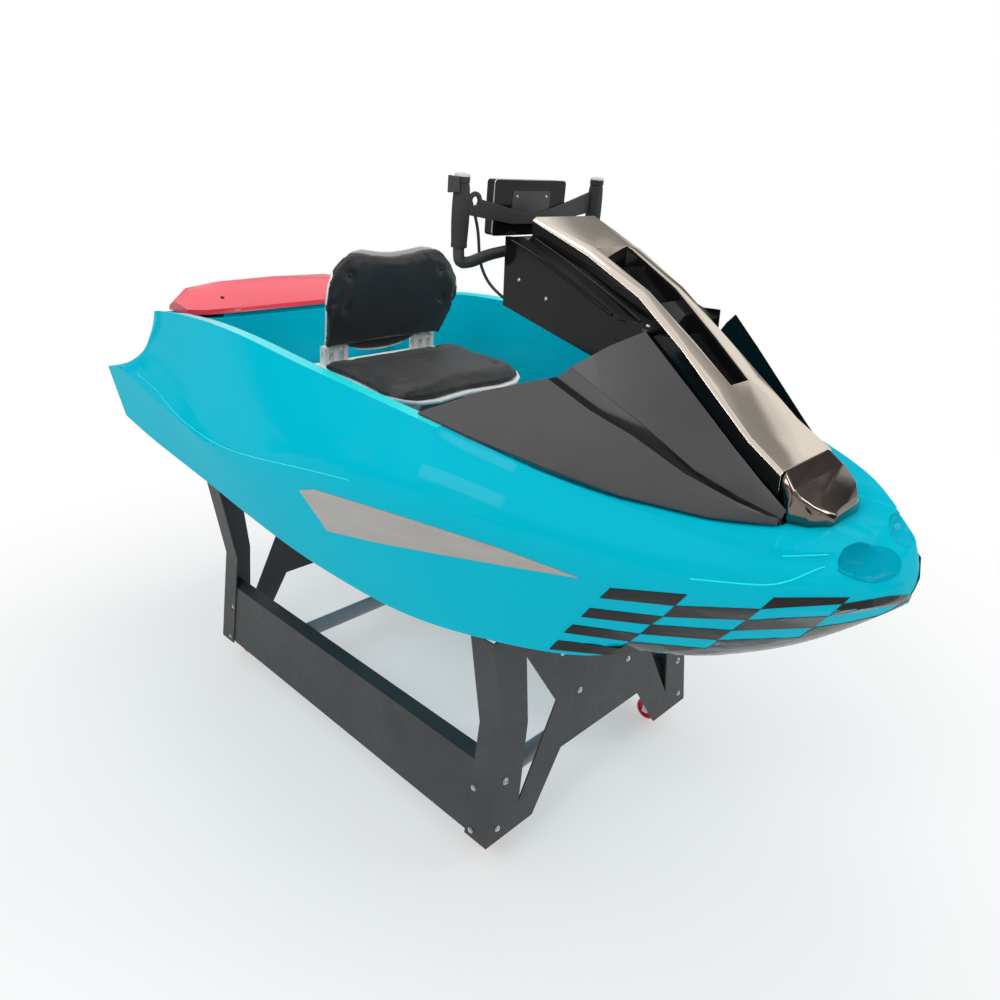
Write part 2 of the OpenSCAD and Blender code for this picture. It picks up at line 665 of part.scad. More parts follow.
module console_brackets() {
    color(GLOSS) for (side = [-1, 1])
        translate([600, side > 0 ? console_half_w + gap : -console_half_w - gap - 4, 1240])
            cube([60, 4, 40]);
}

// Steering

module column_frame() {
    translate([console_rear_x, 0, column_z]) rotate([0, column_tilt, 0]) children();
}
module steering_column() {
    color(STEEL) column_frame() difference() {
        translate([-14, 0, 0]) rotate([0, 90, 0]) cylinder(d = bearing_d, h = 72);
        translate([-20, 0, 0]) rotate([0, 90, 0]) cylinder(d = column_d + 0.1, h = 120);
    }
}
function bar_points(side) = [
    [-48, side * 20, 0], [-50, side * 130, -12], [-53, side * 190, -26],
    [-57, side * (grip_spacing / 2 - 5), -24], [-58, side * grip_spacing / 2, -4]];
function bar_end(side) = [-58, side * grip_spacing / 2, bar_top];
function half_bar(side) = concat(smooth_path(bar_points(side), 4), [bar_end(side)]);
module handlebar() {
    color(POWDER) column_frame() {
        translate([-62, 0, 0]) rotate([0, 90, 0]) cylinder(d = column_d, h = 130);
        swept_tube(concat(backwards(half_bar(-1)), half_bar(1)), bar_d / 2, 12, [1, 0, 0]);
    }
}
module grips() {
    color(GLOSS) column_frame() for (side = [-1, 1])
        translate([-58, side * grip_spacing / 2, bar_top + 6 - grip_l]) difference() {
            cylinder(d = grip_d, h = grip_l);
            translate([0, 0, -1]) cylinder(d = bar_d + 0.4, h = grip_l - 4.7);
        }
}
module cross_plate() {
    half = grip_spacing / 2 - grip_d / 2 - gap;
    color(POWDER) column_frame() translate([plate_x, 0, 0]) rotate([90, 0, 90])
        linear_extrude(cross_plate_t) difference() {
            union() {
                polygon([[-half, 110], [-half, 70], [-60, 48], [60, 48], [half, 70], [half, 118],
                         [130, 97], [30, 73], [-30, 73], [-130, 94]]);
                translate([-eye_y, eye_z]) circle(d = eye_hole_d + 20);
            }
            translate([-eye_y, eye_z]) circle(d = eye_hole_d);
        }
}
module display() {
    r = 8;
    color(GLOSS) column_frame()
        translate([plate_x - gap - display_t, 0, 24]) rotate([90, 0, 90])
            linear_extrude(display_t) hull() for (side = [-1, 1], z = [r, display_h - r])
                translate([side * (display_w / 2 - r), z]) circle(r, $fn = 32);
}
module throttle_lever() {
    color(GLOSS) column_frame() translate([-58, -grip_spacing / 2 - grip_d / 2 - gap, bar_top - 30])
        rotate([90, 0, 0]) linear_extrude(8) polygon([[-16, 0], [14, 4], [12, 32], [-16, 34]]);
}
CABLE_ROUTE = [
    [-64.5, -203.6, 121], [-72, -186, 108], [-75, -168, 78], [-74, -156, 48], [-72, -150, 18],
    [-71, -147, -22], [-58, -143, -56], [-34, -138, -82], [-2, -132, -97]
];
module throttle_cable() {
    color(PAD) column_frame()
        swept_tube(smooth_path(CABLE_ROUTE, 4), cable_d / 2, 8, [0, 1, 0.3]);
}

// Jet drive

module jet_duct() {
    x0 = stern_x + pocket_l;
    color(STEEL) {
        difference() {
            union() {
                translate([x0, 0, jet_z]) rotate([0, 90, 0]) cylinder(d = duct_d + 2 * duct_wall, h = duct_l);
                translate([nozzle_x, 0, jet_z]) intersection() {
                    sphere(r = ball_r);
                    translate([-20, -100, -100]) cube([200, 200, 200]);
                }
                translate([nozzle_x, 0, jet_z]) rotate([0, 90, 0]) cylinder(r = 40, h = x0 - nozzle_x + 1);
                for (up = [-1, 1])
                    translate([nozzle_x, 0, jet_z + up * (cup_r + 10)]) nozzle_ear(x0 - nozzle_x);
            }
            translate([nozzle_x - 100, 0, jet_z]) rotate([0, 90, 0]) cylinder(r = outlet_r, h = 200);
            translate([x0 + 10, 0, jet_z]) rotate([0, 90, 0]) cylinder(d = duct_d, h = duct_l);
        }
    }
}
module nozzle_ear(reach) {
    difference() {
        union() {
            translate([0, -14, -4]) cube([reach, 28, 8]);
            translate([0, 0, -4]) cylinder(r = 14, h = 8);
        }
        translate([0, 0, -5]) cylinder(d = nozzle_pin_d + 0.1, h = 10);
    }
}
module steering_nozzle() {
    color(STEEL) translate([nozzle_x, 0, jet_z]) {
        difference() {
            union() {
                intersection() {
                    sphere(r = cup_r);
                    union() {
                        translate([-200, -100, -100]) cube([196, 200, 200]);
                        translate([-5, -14, -100]) cube([15, 28, 200]);
                    }
                }
                for (up = [0, 1]) mirror([0, 0, up])
                    translate([0, 0, cup_r - 3]) cylinder(d = nozzle_pin_d, h = 18);
                rotate([0, -90, 0]) cylinder(r1 = cup_r - 14, r2 = 46, h = nozzle_l);
            }
            sphere(r = cup_r - 6);
            rotate([0, -90, 0]) translate([0, 0, 30]) cylinder(r1 = 48, r2 = 40, h = nozzle_l);
        }
    }
}
module drive_shaft() {
    x0 = stern_x + pocket_l + 40;
    color(STEEL) translate([x0, 0, jet_z]) rotate([0, 90, 0])
        cylinder(d = drive_shaft_d, h = intake_x + intake_l + shaft_seat - 5 - x0);
}
function turned(p, a, z) = [p[0] * cos(a) - p[1] * sin(a), p[0] * sin(a) + p[1] * cos(a), z];
function blade_section(z, a, r) = [
    turned([18, -2.5], a, z), turned([r - 0.1, -1.5], a, z),
    turned([r - 0.1, 1.5], a, z), turned([18, 2.5], a, z)];
module impeller() {
    x0 = stern_x + pocket_l + 50;
    r = duct_d / 2 - impeller_gap;
    color(STEEL) translate([x0, 0, jet_z]) rotate([0, 90, 0]) difference() {
        union() {
            cylinder(r1 = 20, r2 = 26, h = 70);
            for (k = [0 : impeller_blades - 1]) rotate(360 * k / impeller_blades)
                loft([for (i = [0 : 5]) blade_section(8 + i * 10, -i * 14, r)]);
        }
        translate([0, 0, -1]) cylinder(d = drive_shaft_d, h = 80);
    }
}
module intake_grate() {
    color(STEEL) translate([intake_x, -intake_w / 2, grate_z]) difference() {
        cube([intake_l, intake_w, 10]);
        for (k = [0 : 4])
            translate([12, 9 + k * (intake_w - 12) / 5, -1]) cube([intake_l - 24, (intake_w - 12) / 5 - 7, 12]);
    }
}

// Trolley

front_x = trolley_x + trolley_length / 2;
rear_x = trolley_x - trolley_length / 2;

// Height of the hull's bottom at a place along it and across it
function station_before(x) = max([for (i = [0 : len(rail_x) - 2]) if (rail_x[i] <= x) i]);
function hull_bottom(x, y) =
    let (i = station_before(x), t = (x - rail_x[i]) / (rail_x[i + 1] - rail_x[i]),
         keel = mix(STATIONS[i][1], STATIONS[i + 1][1], t) + keel_dz,
         side = mix(chine(i), chine(i + 1), t))
    mix(keel, side[2], y / side[1]);

// Half outline of an end frame's plate and its opening between leg and strut
module frame_plate(top_y, top_z, shelf_z, keel_z) {
    half = [[foot_half_w, foot_z], [knee_half_w, knee_z], [top_y, top_z],
            [top_y - 12, shelf_z], [0, keel_z], [0, 225], [162, 225], [261, foot_z]];
    hole = [[311, 150], [287, 369], [298, 553], [187, 377]];
    linear_extrude(sheet_t) difference() {
        union() {
            polygon(half);
            mirror([1, 0]) polygon(half);
        }
        polygon(hole);
        mirror([1, 0]) polygon(hole);
    }
}
module leg_flange_band(top_y, top_z) {
    linear_extrude(leg_flange) polygon([
        [foot_half_w, foot_z], [knee_half_w, knee_z], [top_y, top_z],
        [top_y - sheet_t, top_z], [knee_half_w - sheet_t, knee_z], [foot_half_w - sheet_t, foot_z]]);
}
// Plate that carries a castor, with the castor's headed pin
module castor_plate() {
    for (side = [-1, 1]) translate([0, side * castor_y, 0]) {
        translate([-castor_inset_x, -pad_half, pad_z])
            cube([2 * castor_inset_x, leg_y(pad_z + sheet_t) - 2 * sheet_t - gap - castor_y + pad_half, sheet_t]);
        translate([0, 0, pin_low_z]) cylinder(d = swivel_pin_d, h = pad_z - pin_low_z + 1);
        translate([0, 0, pin_low_z - 3]) cylinder(d = swivel_pin_d + 6, h = 3);
    }
}
module end_frame(x, dir, top_y) {
    inner_x = x - dir * sheet_t;
    flange_x = x - dir * leg_flange;
    low = function(y) min(hull_bottom(x, y), hull_bottom(inner_x, y)) - (y == 0 ? gap : 3.2);
    top_z = min(low(top_y), hull_bottom(flange_x, top_y) - 1.5);
    color(POWDER) {
        translate([x, 0, 0]) rotate([90, 0, 90]) translate([0, 0, dir > 0 ? -sheet_t : 0])
            frame_plate(top_y, top_z, low(top_y - 12), low(0));
        for (side = [0, 1]) mirror([0, side, 0]) translate([x, 0, 0]) rotate([90, 0, 90])
            translate([0, 0, dir > 0 ? -leg_flange : 0]) leg_flange_band(top_y, top_z);
        translate([x - dir * castor_inset_x, 0, 0]) scale([dir, 1, 1]) castor_plate();
    }
}
module trolley_front_frame() { end_frame(front_x, 1, 400); }
module trolley_rear_frame() { end_frame(rear_x, -1, 413); }

function leg_y(z) = mix(foot_half_w, knee_half_w, (z - foot_z) / (knee_z - foot_z));
module trolley_board(side) {
    z0 = foot_z + 6;
    z1 = z0 + board_h;
    o = sheet_t;
    color(POWDER) translate([rear_x + sheet_t + 1, 0, 0]) rotate([90, 0, 90])
        linear_extrude(trolley_length - 2 * sheet_t - 2) polygon([for (p = [
            [leg_y(z0) - o, z0], [leg_y(z1) - o, z1], [leg_y(z1) - o - 45, z1],
            [leg_y(z1) - o - 45, z1 - sheet_t], [leg_y(z1) - 2 * o, z1 - sheet_t],
            [leg_y(z0) - 2 * o, z0]]) [side * p[0], p[1]]]);
}
module trolley_boards() {
    trolley_board(-1);
    trolley_board(1);
}
module trolley_cross_tubes() {
    z = foot_z + 85;
    half = leg_y(z + cross_tube_d / 2) - 2 * sheet_t - gap;
    color(STEEL) for (x = [rear_x + 300, front_x - 95])
        translate([x, -half, z]) rotate([-90, 0, 0]) difference() {
            cylinder(d = cross_tube_d, h = 2 * half);
            translate([0, 0, -1]) cylinder(d = cross_tube_d - 6, h = 2 * half + 2);
        }
}

module castor_fork(sx, sy) {
    x = (sx > 0 ? front_x : rear_x) - sx * castor_inset_x;
    color(STEEL) translate([x, sy * castor_y, 0]) {
        difference() {
            translate([0, 0, pin_low_z + 0.5]) cylinder(r = 24, h = head_h);
            translate([0, 0, 0]) cylinder(d = swivel_pin_d + 0.1, h = 100);
        }
        for (side = [-1, 1]) translate([0, side * (castor_w / 2 + 3) - (side > 0 ? 0 : 3), 0])
            rotate([90, 0, 0]) mirror([0, 0, 1]) linear_extrude(3) polygon([
                [-22, pin_low_z + 2], [17, pin_low_z + 2], [-castor_trail + 9, castor_d / 2 - 9],
                [-castor_trail - 9, castor_d / 2 - 9]]);
        translate([-castor_trail, -castor_w / 2 - 4, castor_d / 2]) rotate([-90, 0, 0])
            cylinder(d = castor_axle_d, h = castor_w + 8);
    }
}
module castor_wheel(sx, sy) {
    x = (sx > 0 ? front_x : rear_x) - sx * castor_inset_x - castor_trail;
    r = castor_d / 2;
    color(RED) translate([x, sy * castor_y, r]) rotate([90, 0, 0]) rotate_extrude() polygon([
        [castor_axle_d / 2 + 0.05, -castor_w / 2 - 1], [10, -castor_w / 2 - 1], [11, -6],
        [r - 9, -6], [r - 8, -castor_w / 2], [r - 3, -castor_w / 2], [r, -castor_w / 2 + 4],
        [r, castor_w / 2 - 4], [r - 3, castor_w / 2], [r - 8, castor_w / 2], [r - 9, 6],
        [11, 6], [10, castor_w / 2 + 1], [castor_axle_d / 2 + 0.05, castor_w / 2 + 1]]);
}
module castor_front_starboard() { castor_fork(1, -1); }
module castor_front_port() { castor_fork(1, 1); }
module castor_rear_starboard() { castor_fork(-1, -1); }
module castor_rear_port() { castor_fork(-1, 1); }
module wheel_front_starboard() { castor_wheel(1, -1); }
module wheel_front_port() { castor_wheel(1, 1); }
module wheel_rear_starboard() { castor_wheel(-1, -1); }
module wheel_rear_port() { castor_wheel(-1, 1); }

hull_shell();
deck();
stern_hatch();
engine_box();
engine();
seat_mount();
seat_pan();
seat_pad();
seat_hinges();
backrest_shell();
backrest_pad();
foredeck_panels();
foredeck_fins();
foredeck_channels();
nose_spine();
nose_cap();
console_sides();
console_rear();
console_brackets();
steering_column();
handlebar();
grips();
cross_plate();
display();
throttle_lever();
throttle_cable();
jet_duct();
intake_grate();
drive_shaft();
impeller();
steering_nozzle();
trolley_front_frame();
trolley_rear_frame();
trolley_boards();
trolley_cross_tubes();
castor_front_starboard();
castor_front_port();
castor_rear_starboard();
castor_rear_port();
wheel_front_starboard();
wheel_front_port();
wheel_rear_starboard();
wheel_rear_port();
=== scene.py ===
import json
import math

import bmesh
import bpy
import numpy as np
from mathutils import Matrix, Vector
from mathutils.bvhtree import BVHTree

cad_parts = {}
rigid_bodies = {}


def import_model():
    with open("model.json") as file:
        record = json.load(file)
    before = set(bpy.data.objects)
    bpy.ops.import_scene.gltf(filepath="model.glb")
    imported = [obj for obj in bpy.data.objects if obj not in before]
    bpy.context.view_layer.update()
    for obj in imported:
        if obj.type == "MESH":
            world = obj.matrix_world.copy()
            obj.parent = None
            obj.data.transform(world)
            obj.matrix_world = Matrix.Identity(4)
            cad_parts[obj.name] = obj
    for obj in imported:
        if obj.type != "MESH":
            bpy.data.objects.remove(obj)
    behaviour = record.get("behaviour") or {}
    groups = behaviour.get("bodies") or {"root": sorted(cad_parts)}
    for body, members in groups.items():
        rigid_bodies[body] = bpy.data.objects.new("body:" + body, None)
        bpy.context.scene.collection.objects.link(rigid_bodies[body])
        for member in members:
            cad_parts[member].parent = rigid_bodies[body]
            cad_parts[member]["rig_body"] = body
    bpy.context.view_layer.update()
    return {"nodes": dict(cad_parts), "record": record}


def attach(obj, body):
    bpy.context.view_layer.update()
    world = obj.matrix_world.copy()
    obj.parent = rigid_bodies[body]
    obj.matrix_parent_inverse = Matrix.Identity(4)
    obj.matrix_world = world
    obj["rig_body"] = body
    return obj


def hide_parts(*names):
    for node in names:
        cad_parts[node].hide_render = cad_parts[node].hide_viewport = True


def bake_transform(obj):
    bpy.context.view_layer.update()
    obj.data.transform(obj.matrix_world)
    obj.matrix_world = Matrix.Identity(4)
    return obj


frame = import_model()
nodes = frame["nodes"]
scene = bpy.context.scene

# Camera

CAMERA_AT = Vector((1.5193, -1.38416, 1.5147))
CAMERA_AZ, CAMERA_EL, CAMERA_ROLL = 44.73804, 21.95988, 0.93801
FOCAL_PX = 775.518
PICTURE_PX, MIDDLE_PX = 1000, 500.0
SENSOR_MM, FAR_M = 36, 60


def camera_axes():
    """The camera's right, up and looking directions."""
    az, el, roll = (math.radians(a) for a in (CAMERA_AZ, CAMERA_EL, CAMERA_ROLL))
    look = Vector((-math.sin(az) * math.cos(el), math.cos(az) * math.cos(el), -math.sin(el)))
    right = Vector((math.cos(az), math.sin(az), 0))
    up = right.cross(look)
    r = right * math.cos(roll) + up * math.sin(roll)
    u = up * math.cos(roll) - right * math.sin(roll)
    return r, u, look


RIGHT, UP, LOOK = camera_axes()
camera_data = bpy.data.cameras.new("photo_camera")
camera_data.lens = FOCAL_PX / PICTURE_PX * SENSOR_MM
camera_data.sensor_width = SENSOR_MM
camera_data.clip_end = FAR_M
camera = bpy.data.objects.new("photo_camera", camera_data)
scene.collection.objects.link(camera)
turn = Matrix((RIGHT, UP, -LOOK)).transposed().to_4x4()
camera.matrix_world = Matrix.Translation(CAMERA_AT) @ turn
scene.camera = camera
scene.view_settings.view_transform = "Standard"


def sight_line(px, py):
    """The way from the camera through this place in the picture."""
    across = RIGHT * ((px - MIDDLE_PX) / FOCAL_PX)
    down = UP * ((py - MIDDLE_PX) / FOCAL_PX)
    return (LOOK + across - down).normalized()


# Finishes

# Size of clouds and scuffs as a share of the grain, and the noise levels between which they come in
CLOUD_SHARE, CLOUD_FROM, CLOUD_TO = 0.12, 0.3, 0.7
SCUFF_SHARE, SCUFF_FROM, SCUFF_TO = 0.5, 0.62, 0.78
WORN_KEEPS, WORN_ADDS, LIGHT_LIFT = 0.5, 0.16, 0.04
ROUGH_LEAST, ROUGH_MOST, ROUGH_FLOOR, COAT_ROUGH = 0.8, 1.25, 0.02, 0.04


def material(name, base, rough, metal=0.0, coat=0.0, vary=0.08, grain=40.0, bump=0.02,
             bump_scale=260.0, wear=0.1, sheen=0.0, stretch=(1, 1, 1), bump_depth=0.001,
             shine=0.5):
    """A finish with clouded colour, uneven roughness, fine relief and light wear."""
    m = bpy.data.materials.new(name)
    m.use_nodes = True
    t = m.node_tree
    n, link = t.nodes, t.links
    shader = n["Principled BSDF"]
    shader.inputs["Metallic"].default_value = metal
    shader.inputs["Coat Weight"].default_value = coat
    shader.inputs["Coat Roughness"].default_value = COAT_ROUGH
    shader.inputs["Sheen Weight"].default_value = sheen
    shader.inputs["Specular IOR Level"].default_value = shine
    place = n.new("ShaderNodeTexCoord")
    mapping = n.new("ShaderNodeMapping")
    mapping.inputs["Scale"].default_value = stretch
    link.new(place.outputs["Object"], mapping.inputs["Vector"])

    def noise(scale, detail):
        x = n.new("ShaderNodeTexNoise")
        x.inputs["Scale"].default_value = scale
        x.inputs["Detail"].default_value = detail
        link.new(mapping.outputs["Vector"], x.inputs["Vector"])
        return x

    cloud = noise(grain * CLOUD_SHARE, 3)
    fine = noise(grain, 4)
    scuff = noise(grain * SCUFF_SHARE, 8)
    ramp = n.new("ShaderNodeValToRGB")
    dark = [c * (1 - vary) for c in base] + [1]
    light = [min(1, c * (1 + vary) + LIGHT_LIFT * vary) for c in base] + [1]
    ramp.color_ramp.elements[0].position = CLOUD_FROM
    ramp.color_ramp.elements[0].color = dark
    ramp.color_ramp.elements[1].position = CLOUD_TO
    ramp.color_ramp.elements[1].color = light
    link.new(cloud.outputs["Fac"], ramp.inputs["Fac"])
    mask = n.new("ShaderNodeMapRange")
    mask.inputs["From Min"].default_value = SCUFF_FROM
    mask.inputs["From Max"].default_value = SCUFF_TO
    mask.inputs["To Max"].default_value = wear
    link.new(scuff.outputs["Fac"], mask.inputs["Value"])
    worn = n.new("ShaderNodeMix")
    worn.data_type = "RGBA"
    worn.inputs["B"].default_value = [WORN_KEEPS * c + WORN_ADDS for c in base] + [1]
    link.new(mask.outputs["Result"], worn.inputs["Factor"])
    link.new(ramp.outputs["Color"], worn.inputs["A"])
    link.new(worn.outputs["Result"], shader.inputs["Base Color"])
    level = n.new("ShaderNodeMapRange")
    level.inputs["To Min"].default_value = max(ROUGH_FLOOR, rough * ROUGH_LEAST)
    level.inputs["To Max"].default_value = min(1, rough * ROUGH_MOST)
    link.new(fine.outputs["Fac"], level.inputs["Value"])
    link.new(level.outputs["Result"], shader.inputs["Roughness"])
    relief = noise(bump_scale, 2)
    raised = n.new("ShaderNodeBump")
    raised.inputs["Strength"].default_value = bump
    raised.inputs["Distance"].default_value = bump_depth
    link.new(relief.outputs["Fac"], raised.inputs["Height"])
    link.new(raised.outputs["Normal"], shader.inputs["Normal"])
    return m


FINISH = {
    "teal_gelcoat": material("teal_gelcoat", (0.0, 0.455, 0.6), 0.3, coat=0.12, vary=0.03,
                             grain=14, bump=0.004, bump_scale=12, wear=0.004, shine=0.0),
    "red_gelcoat": material("red_gelcoat", (0.86, 0.13, 0.165), 0.24, coat=0.12, vary=0.06,
                            grain=14, bump=0.01, bump_scale=12, wear=0.02, shine=0.35),
    "slate_panel": material("slate_panel", (0.047, 0.046, 0.049), 0.42, coat=0.06, vary=0.1,
                            grain=30, bump=0.05, bump_scale=500, wear=0.05),
    "gloss_black": material("gloss_black", (0.003, 0.003, 0.0035), 0.1, coat=0.06, vary=0.2,
                            grain=20, bump=0.02, bump_scale=14, wear=0.01, bump_depth=0.002,
                            shine=0.2),
    "champagne_mirror": material("champagne_mirror", (0.82, 0.74, 0.64), 0.06, metal=1.0,
                                 vary=0.06, grain=12, bump=0.12, bump_scale=7, wear=0.02,
                                 bump_depth=0.004),
    "dark_mirror": material("dark_mirror", (0.14, 0.115, 0.1), 0.08, metal=1.0, coat=0.4,
                            vary=0.3, grain=20, bump=0.3, bump_scale=9, wear=0.03,
                            bump_depth=0.004),
    "white_liner": material("white_liner", (0.8, 0.8, 0.78), 0.35, coat=0.3, vary=0.04),
    "seat_shell": material("seat_shell", (0.78, 0.78, 0.76), 0.4, vary=0.05, wear=0.08),
    "seat_padding": material("seat_padding", (0.011, 0.011, 0.012), 0.5, vary=0.2, grain=60,
                             bump=0.25, bump_scale=900, wear=0.04, sheen=0.12),
    "steel": material("steel", (0.55, 0.56, 0.58), 0.28, metal=1.0, vary=0.08, grain=80,
                      stretch=(1, 1, 6), wear=0.1),
    "engine_alloy": material("engine_alloy", (0.45, 0.46, 0.47), 0.45, metal=1.0, vary=0.12,
                             grain=60, bump=0.2, wear=0.1),
    "powder_coat": material("powder_coat", (0.028, 0.028, 0.03), 0.5, vary=0.15, grain=50,
                            bump=0.22, bump_scale=700, wear=0.1),
    "tube_grey": material("tube_grey", (0.24, 0.25, 0.27), 0.4, vary=0.1, grain=40, wear=0.15),
    "grip_rubber": material("grip_rubber", (0.012, 0.012, 0.013), 0.6, vary=0.2, grain=90,
                            bump=0.3, bump_scale=500, wear=0.05),
    "cable_rubber": material("cable_rubber", (0.014, 0.014, 0.015), 0.45, vary=0.2, grain=90),
    "wheel_red": material("wheel_red", (0.62, 0.025, 0.05), 0.4, vary=0.12, grain=60, wear=0.25),
}
CHEQUER = material("chequer_black", (0.003, 0.0035, 0.004), 0.2, coat=0.05, vary=0.2, grain=16,
                   bump=0.02, bump_scale=30, wear=0.01, shine=0.2)
SILVER = material("accent_silver", (0.37, 0.355, 0.33), 0.36, metal=0.3, vary=0.05, grain=40,
                  stretch=(1, 3, 12), bump=0.05, wear=0.02)
# Deeper red for the hatch's side faces: painted shade, where less light falls than on the top
HATCH_SIDE_PAINTED_SHADE = material("hatch_side_painted_shade", (0.66, 0.01, 0.04), 0.24, coat=0.15, vary=0.06, grain=14,
                    wear=0.03)
BLACK_DULL = material("channel_black", (0.004, 0.004, 0.0045), 0.4, coat=0.0, vary=0.2, grain=20,
                      bump=0.02, bump_scale=30, wear=0.01, shine=0.03)
# Pale cyan that paints the highlights on the coaming's top and on the moulded beads
TEAL_PAINTED_HIGHLIGHT = material("teal_painted_highlight", (0.0, 0.76, 0.82), 0.25, coat=0.1, vary=0.03, grain=14,
                     bump=0.005, bump_scale=12, wear=0.004, shine=0.2)
CAP_PALE = material("grip_cap_pale", (0.6, 0.6, 0.6), 0.35, vary=0.08, grain=60, wear=0.1)
SCREEN = material("display_panel", (0.03, 0.032, 0.035), 0.3, vary=0.15, grain=60, wear=0.06)
# Near black that paints the shade inside the hatch's drain hole
HOLE_PAINTED_SHADE = material("hole_painted_shade", (0.01, 0.01, 0.01), 0.8, vary=0.2)

SLOT = {s["node"]: s["material_slot"] for s in frame["record"]["subparts"]}
BODY = {n: o["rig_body"] for n, o in nodes.items()}
for node, slot in SLOT.items():
    if node in nodes:
        nodes[node].data.materials.clear()
        nodes[node].data.materials.append(FINISH[slot])


def second_finish(mesh, mat, chosen):
    """Gives a second finish to the faces that are chosen."""
    mesh.materials.append(mat)
    for poly in mesh.polygons:
        if chosen(poly):
            poly.material_index = 1


# The spine is polished on top and black on its sides, its rear end and in its opening
SPINE_SIDE, SPINE_UNDER, SPINE_AFT = 0.85, -0.3, -0.5
second_finish(nodes["nose_spine"].data, FINISH["gloss_black"], lambda p: (
    abs(p.normal.y) > SPINE_SIDE or p.normal.z < SPINE_UNDER or p.normal.x < SPINE_AFT))

# The fins are black towards the spine, and the hatch's side faces get a deeper red: painted shade,
# darker than its lit top
HATCH_SIDE = 0.4
second_finish(nodes["foredeck_fins"].data, BLACK_DULL, lambda p: p.normal.y * p.center.y < 0)
second_finish(nodes["stern_hatch"].data, HATCH_SIDE_PAINTED_SHADE, lambda p: p.normal.z < HATCH_SIDE)


# Soft edges and smooth shading on the CAD nodes

SOFT_EDGE = {
    "trolley_front_frame": 0.0016, "trolley_rear_frame": 0.0016, "trolley_boards": 0.0014,
    "engine_box": 0.006, "display": 0.003, "cross_plate": 0.0012, "stern_hatch": 0.004,
    "seat_pan": 0.0025, "backrest_shell": 0.0022, "seat_hinges": 0.0012,
    "console_rear": 0.004, "console_brackets": 0.002, "throttle_lever": 0.0015,
    "foredeck_panels": 0.0012, "foredeck_fins": 0.002, "console_sides": 0.004,
    "nose_cap": 0.007, "nose_spine": 0.003, "engine": 0.006, "seat_mount": 0.0015,
}
SMOOTH_ANGLE = math.radians(38)
BEVEL_ANGLE, BEVEL_STEPS = math.radians(42), 2
WELD_DIST = 0.00002


def drop_custom_normals(mesh):
    """Removes the normals that the import stored, which would outlive the changes of shape."""
    stored = mesh.attributes.get("custom_normal")
    if stored is not None:
        mesh.attributes.remove(stored)


def soften(o, width):
    """Smooth shading with sharp edges kept, and bevelled where a width is given."""
    drop_custom_normals(o.data)
    o.data.polygons.foreach_set("use_smooth", [True] * len(o.data.polygons))
    weld = o.modifiers.new("weld", "WELD")
    weld.merge_threshold = WELD_DIST
    if width:
        bevel = o.modifiers.new("soft_edge", "BEVEL")
        bevel.width = width
        bevel.segments = BEVEL_STEPS
        bevel.limit_method = "ANGLE"
        bevel.angle_limit = BEVEL_ANGLE
        bevel.use_clamp_overlap = True
    split = o.modifiers.new("sharp", "EDGE_SPLIT")
    split.split_angle = SMOOTH_ANGLE
    even = o.modifiers.new("even", "WEIGHTED_NORMAL")
    even.keep_sharp = True


# Skins: the hull and deck again, as smooth surfaces

FLAT_ANGLE, SQUARE_ANGLE = math.radians(12), math.radians(40)
SCOOP_X, SCOOP_Y, SCOOP_Z, SCOOP_CREASE = 1.07, -0.19, (0.86, 0.96), math.radians(14)
COAMING_X, COAMING_Y, COAMING_Z, COAMING_UP = (-0.95, 0.47), (0.4, 0.53), 1.085, 0.9


def welded(node):
    """A bmesh of a CAD node with its corners joined and its flat triangles paired."""
    bm = bmesh.new()
    bm.from_mesh(nodes[node].data)
    bmesh.ops.remove_doubles(bm, verts=bm.verts, dist=WELD_DIST)
    bmesh.ops.join_triangles(bm, faces=bm.faces, angle_face_threshold=FLAT_ANGLE,
                             angle_shape_threshold=SQUARE_ANGLE)
    return bm


def new_piece(name, bm, mat, body, smooth=True):
    """A piece from a bmesh, on its body and slot where they are given."""
    mesh = bpy.data.meshes.new(name)
    bm.to_mesh(mesh)
    bm.free()
    mesh.materials.append(mat)
    mesh.polygons.foreach_set("use_smooth", [smooth] * len(mesh.polygons))
    o = bpy.data.objects.new(name, mesh)
    scene.collection.objects.link(o)
    if body:
        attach(o, body)
    return o


def in_scoop(e):
    """Whether an edge lies in the starboard recess of the bow deck."""
    m = (e.verts[0].co + e.verts[1].co) / 2
    return m.x > SCOOP_X and SCOOP_Y < m.y < 0 and SCOOP_Z[0] < m.z < SCOOP_Z[1]


def on_coaming(poly):
    """Whether a face of the deck lies on top of the cockpit's coaming."""
    c = poly.center
    return (poly.normal.z > COAMING_UP and COAMING_Y[0] < abs(c.y) < COAMING_Y[1]
            and c.z > COAMING_Z and COAMING_X[0] < c.x < COAMING_X[1])


def skin(node, name, crease_angle, levels):
    """A subdivided copy of a node that takes its place, creased at its sharp edges."""
    bm = welded(node)
    crease = bm.edges.layers.float.get("crease_edge") or bm.edges.layers.float.new("crease_edge")
    for e in bm.edges:
        angle = e.calc_face_angle(0) if len(e.link_faces) == 2 else math.pi
        if angle > math.radians(crease_angle) or (angle > SCOOP_CREASE and in_scoop(e)):
            e[crease] = 1
    o = new_piece(name, bm, FINISH[SLOT[node]], BODY[node])
    drop_custom_normals(o.data)
    # The deck's faces on top of the coaming get the pale cyan of a painted highlight
    if node == "deck":
        second_finish(o.data, TEAL_PAINTED_HIGHLIGHT, on_coaming)
    sub = o.modifiers.new("surface", "SUBSURF")
    sub.levels = sub.render_levels = levels
    sub.boundary_smooth = "PRESERVE_CORNERS"
    split = o.modifiers.new("sharp", "EDGE_SPLIT")
    split.split_angle = SMOOTH_ANGLE
    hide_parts(node)
    return o


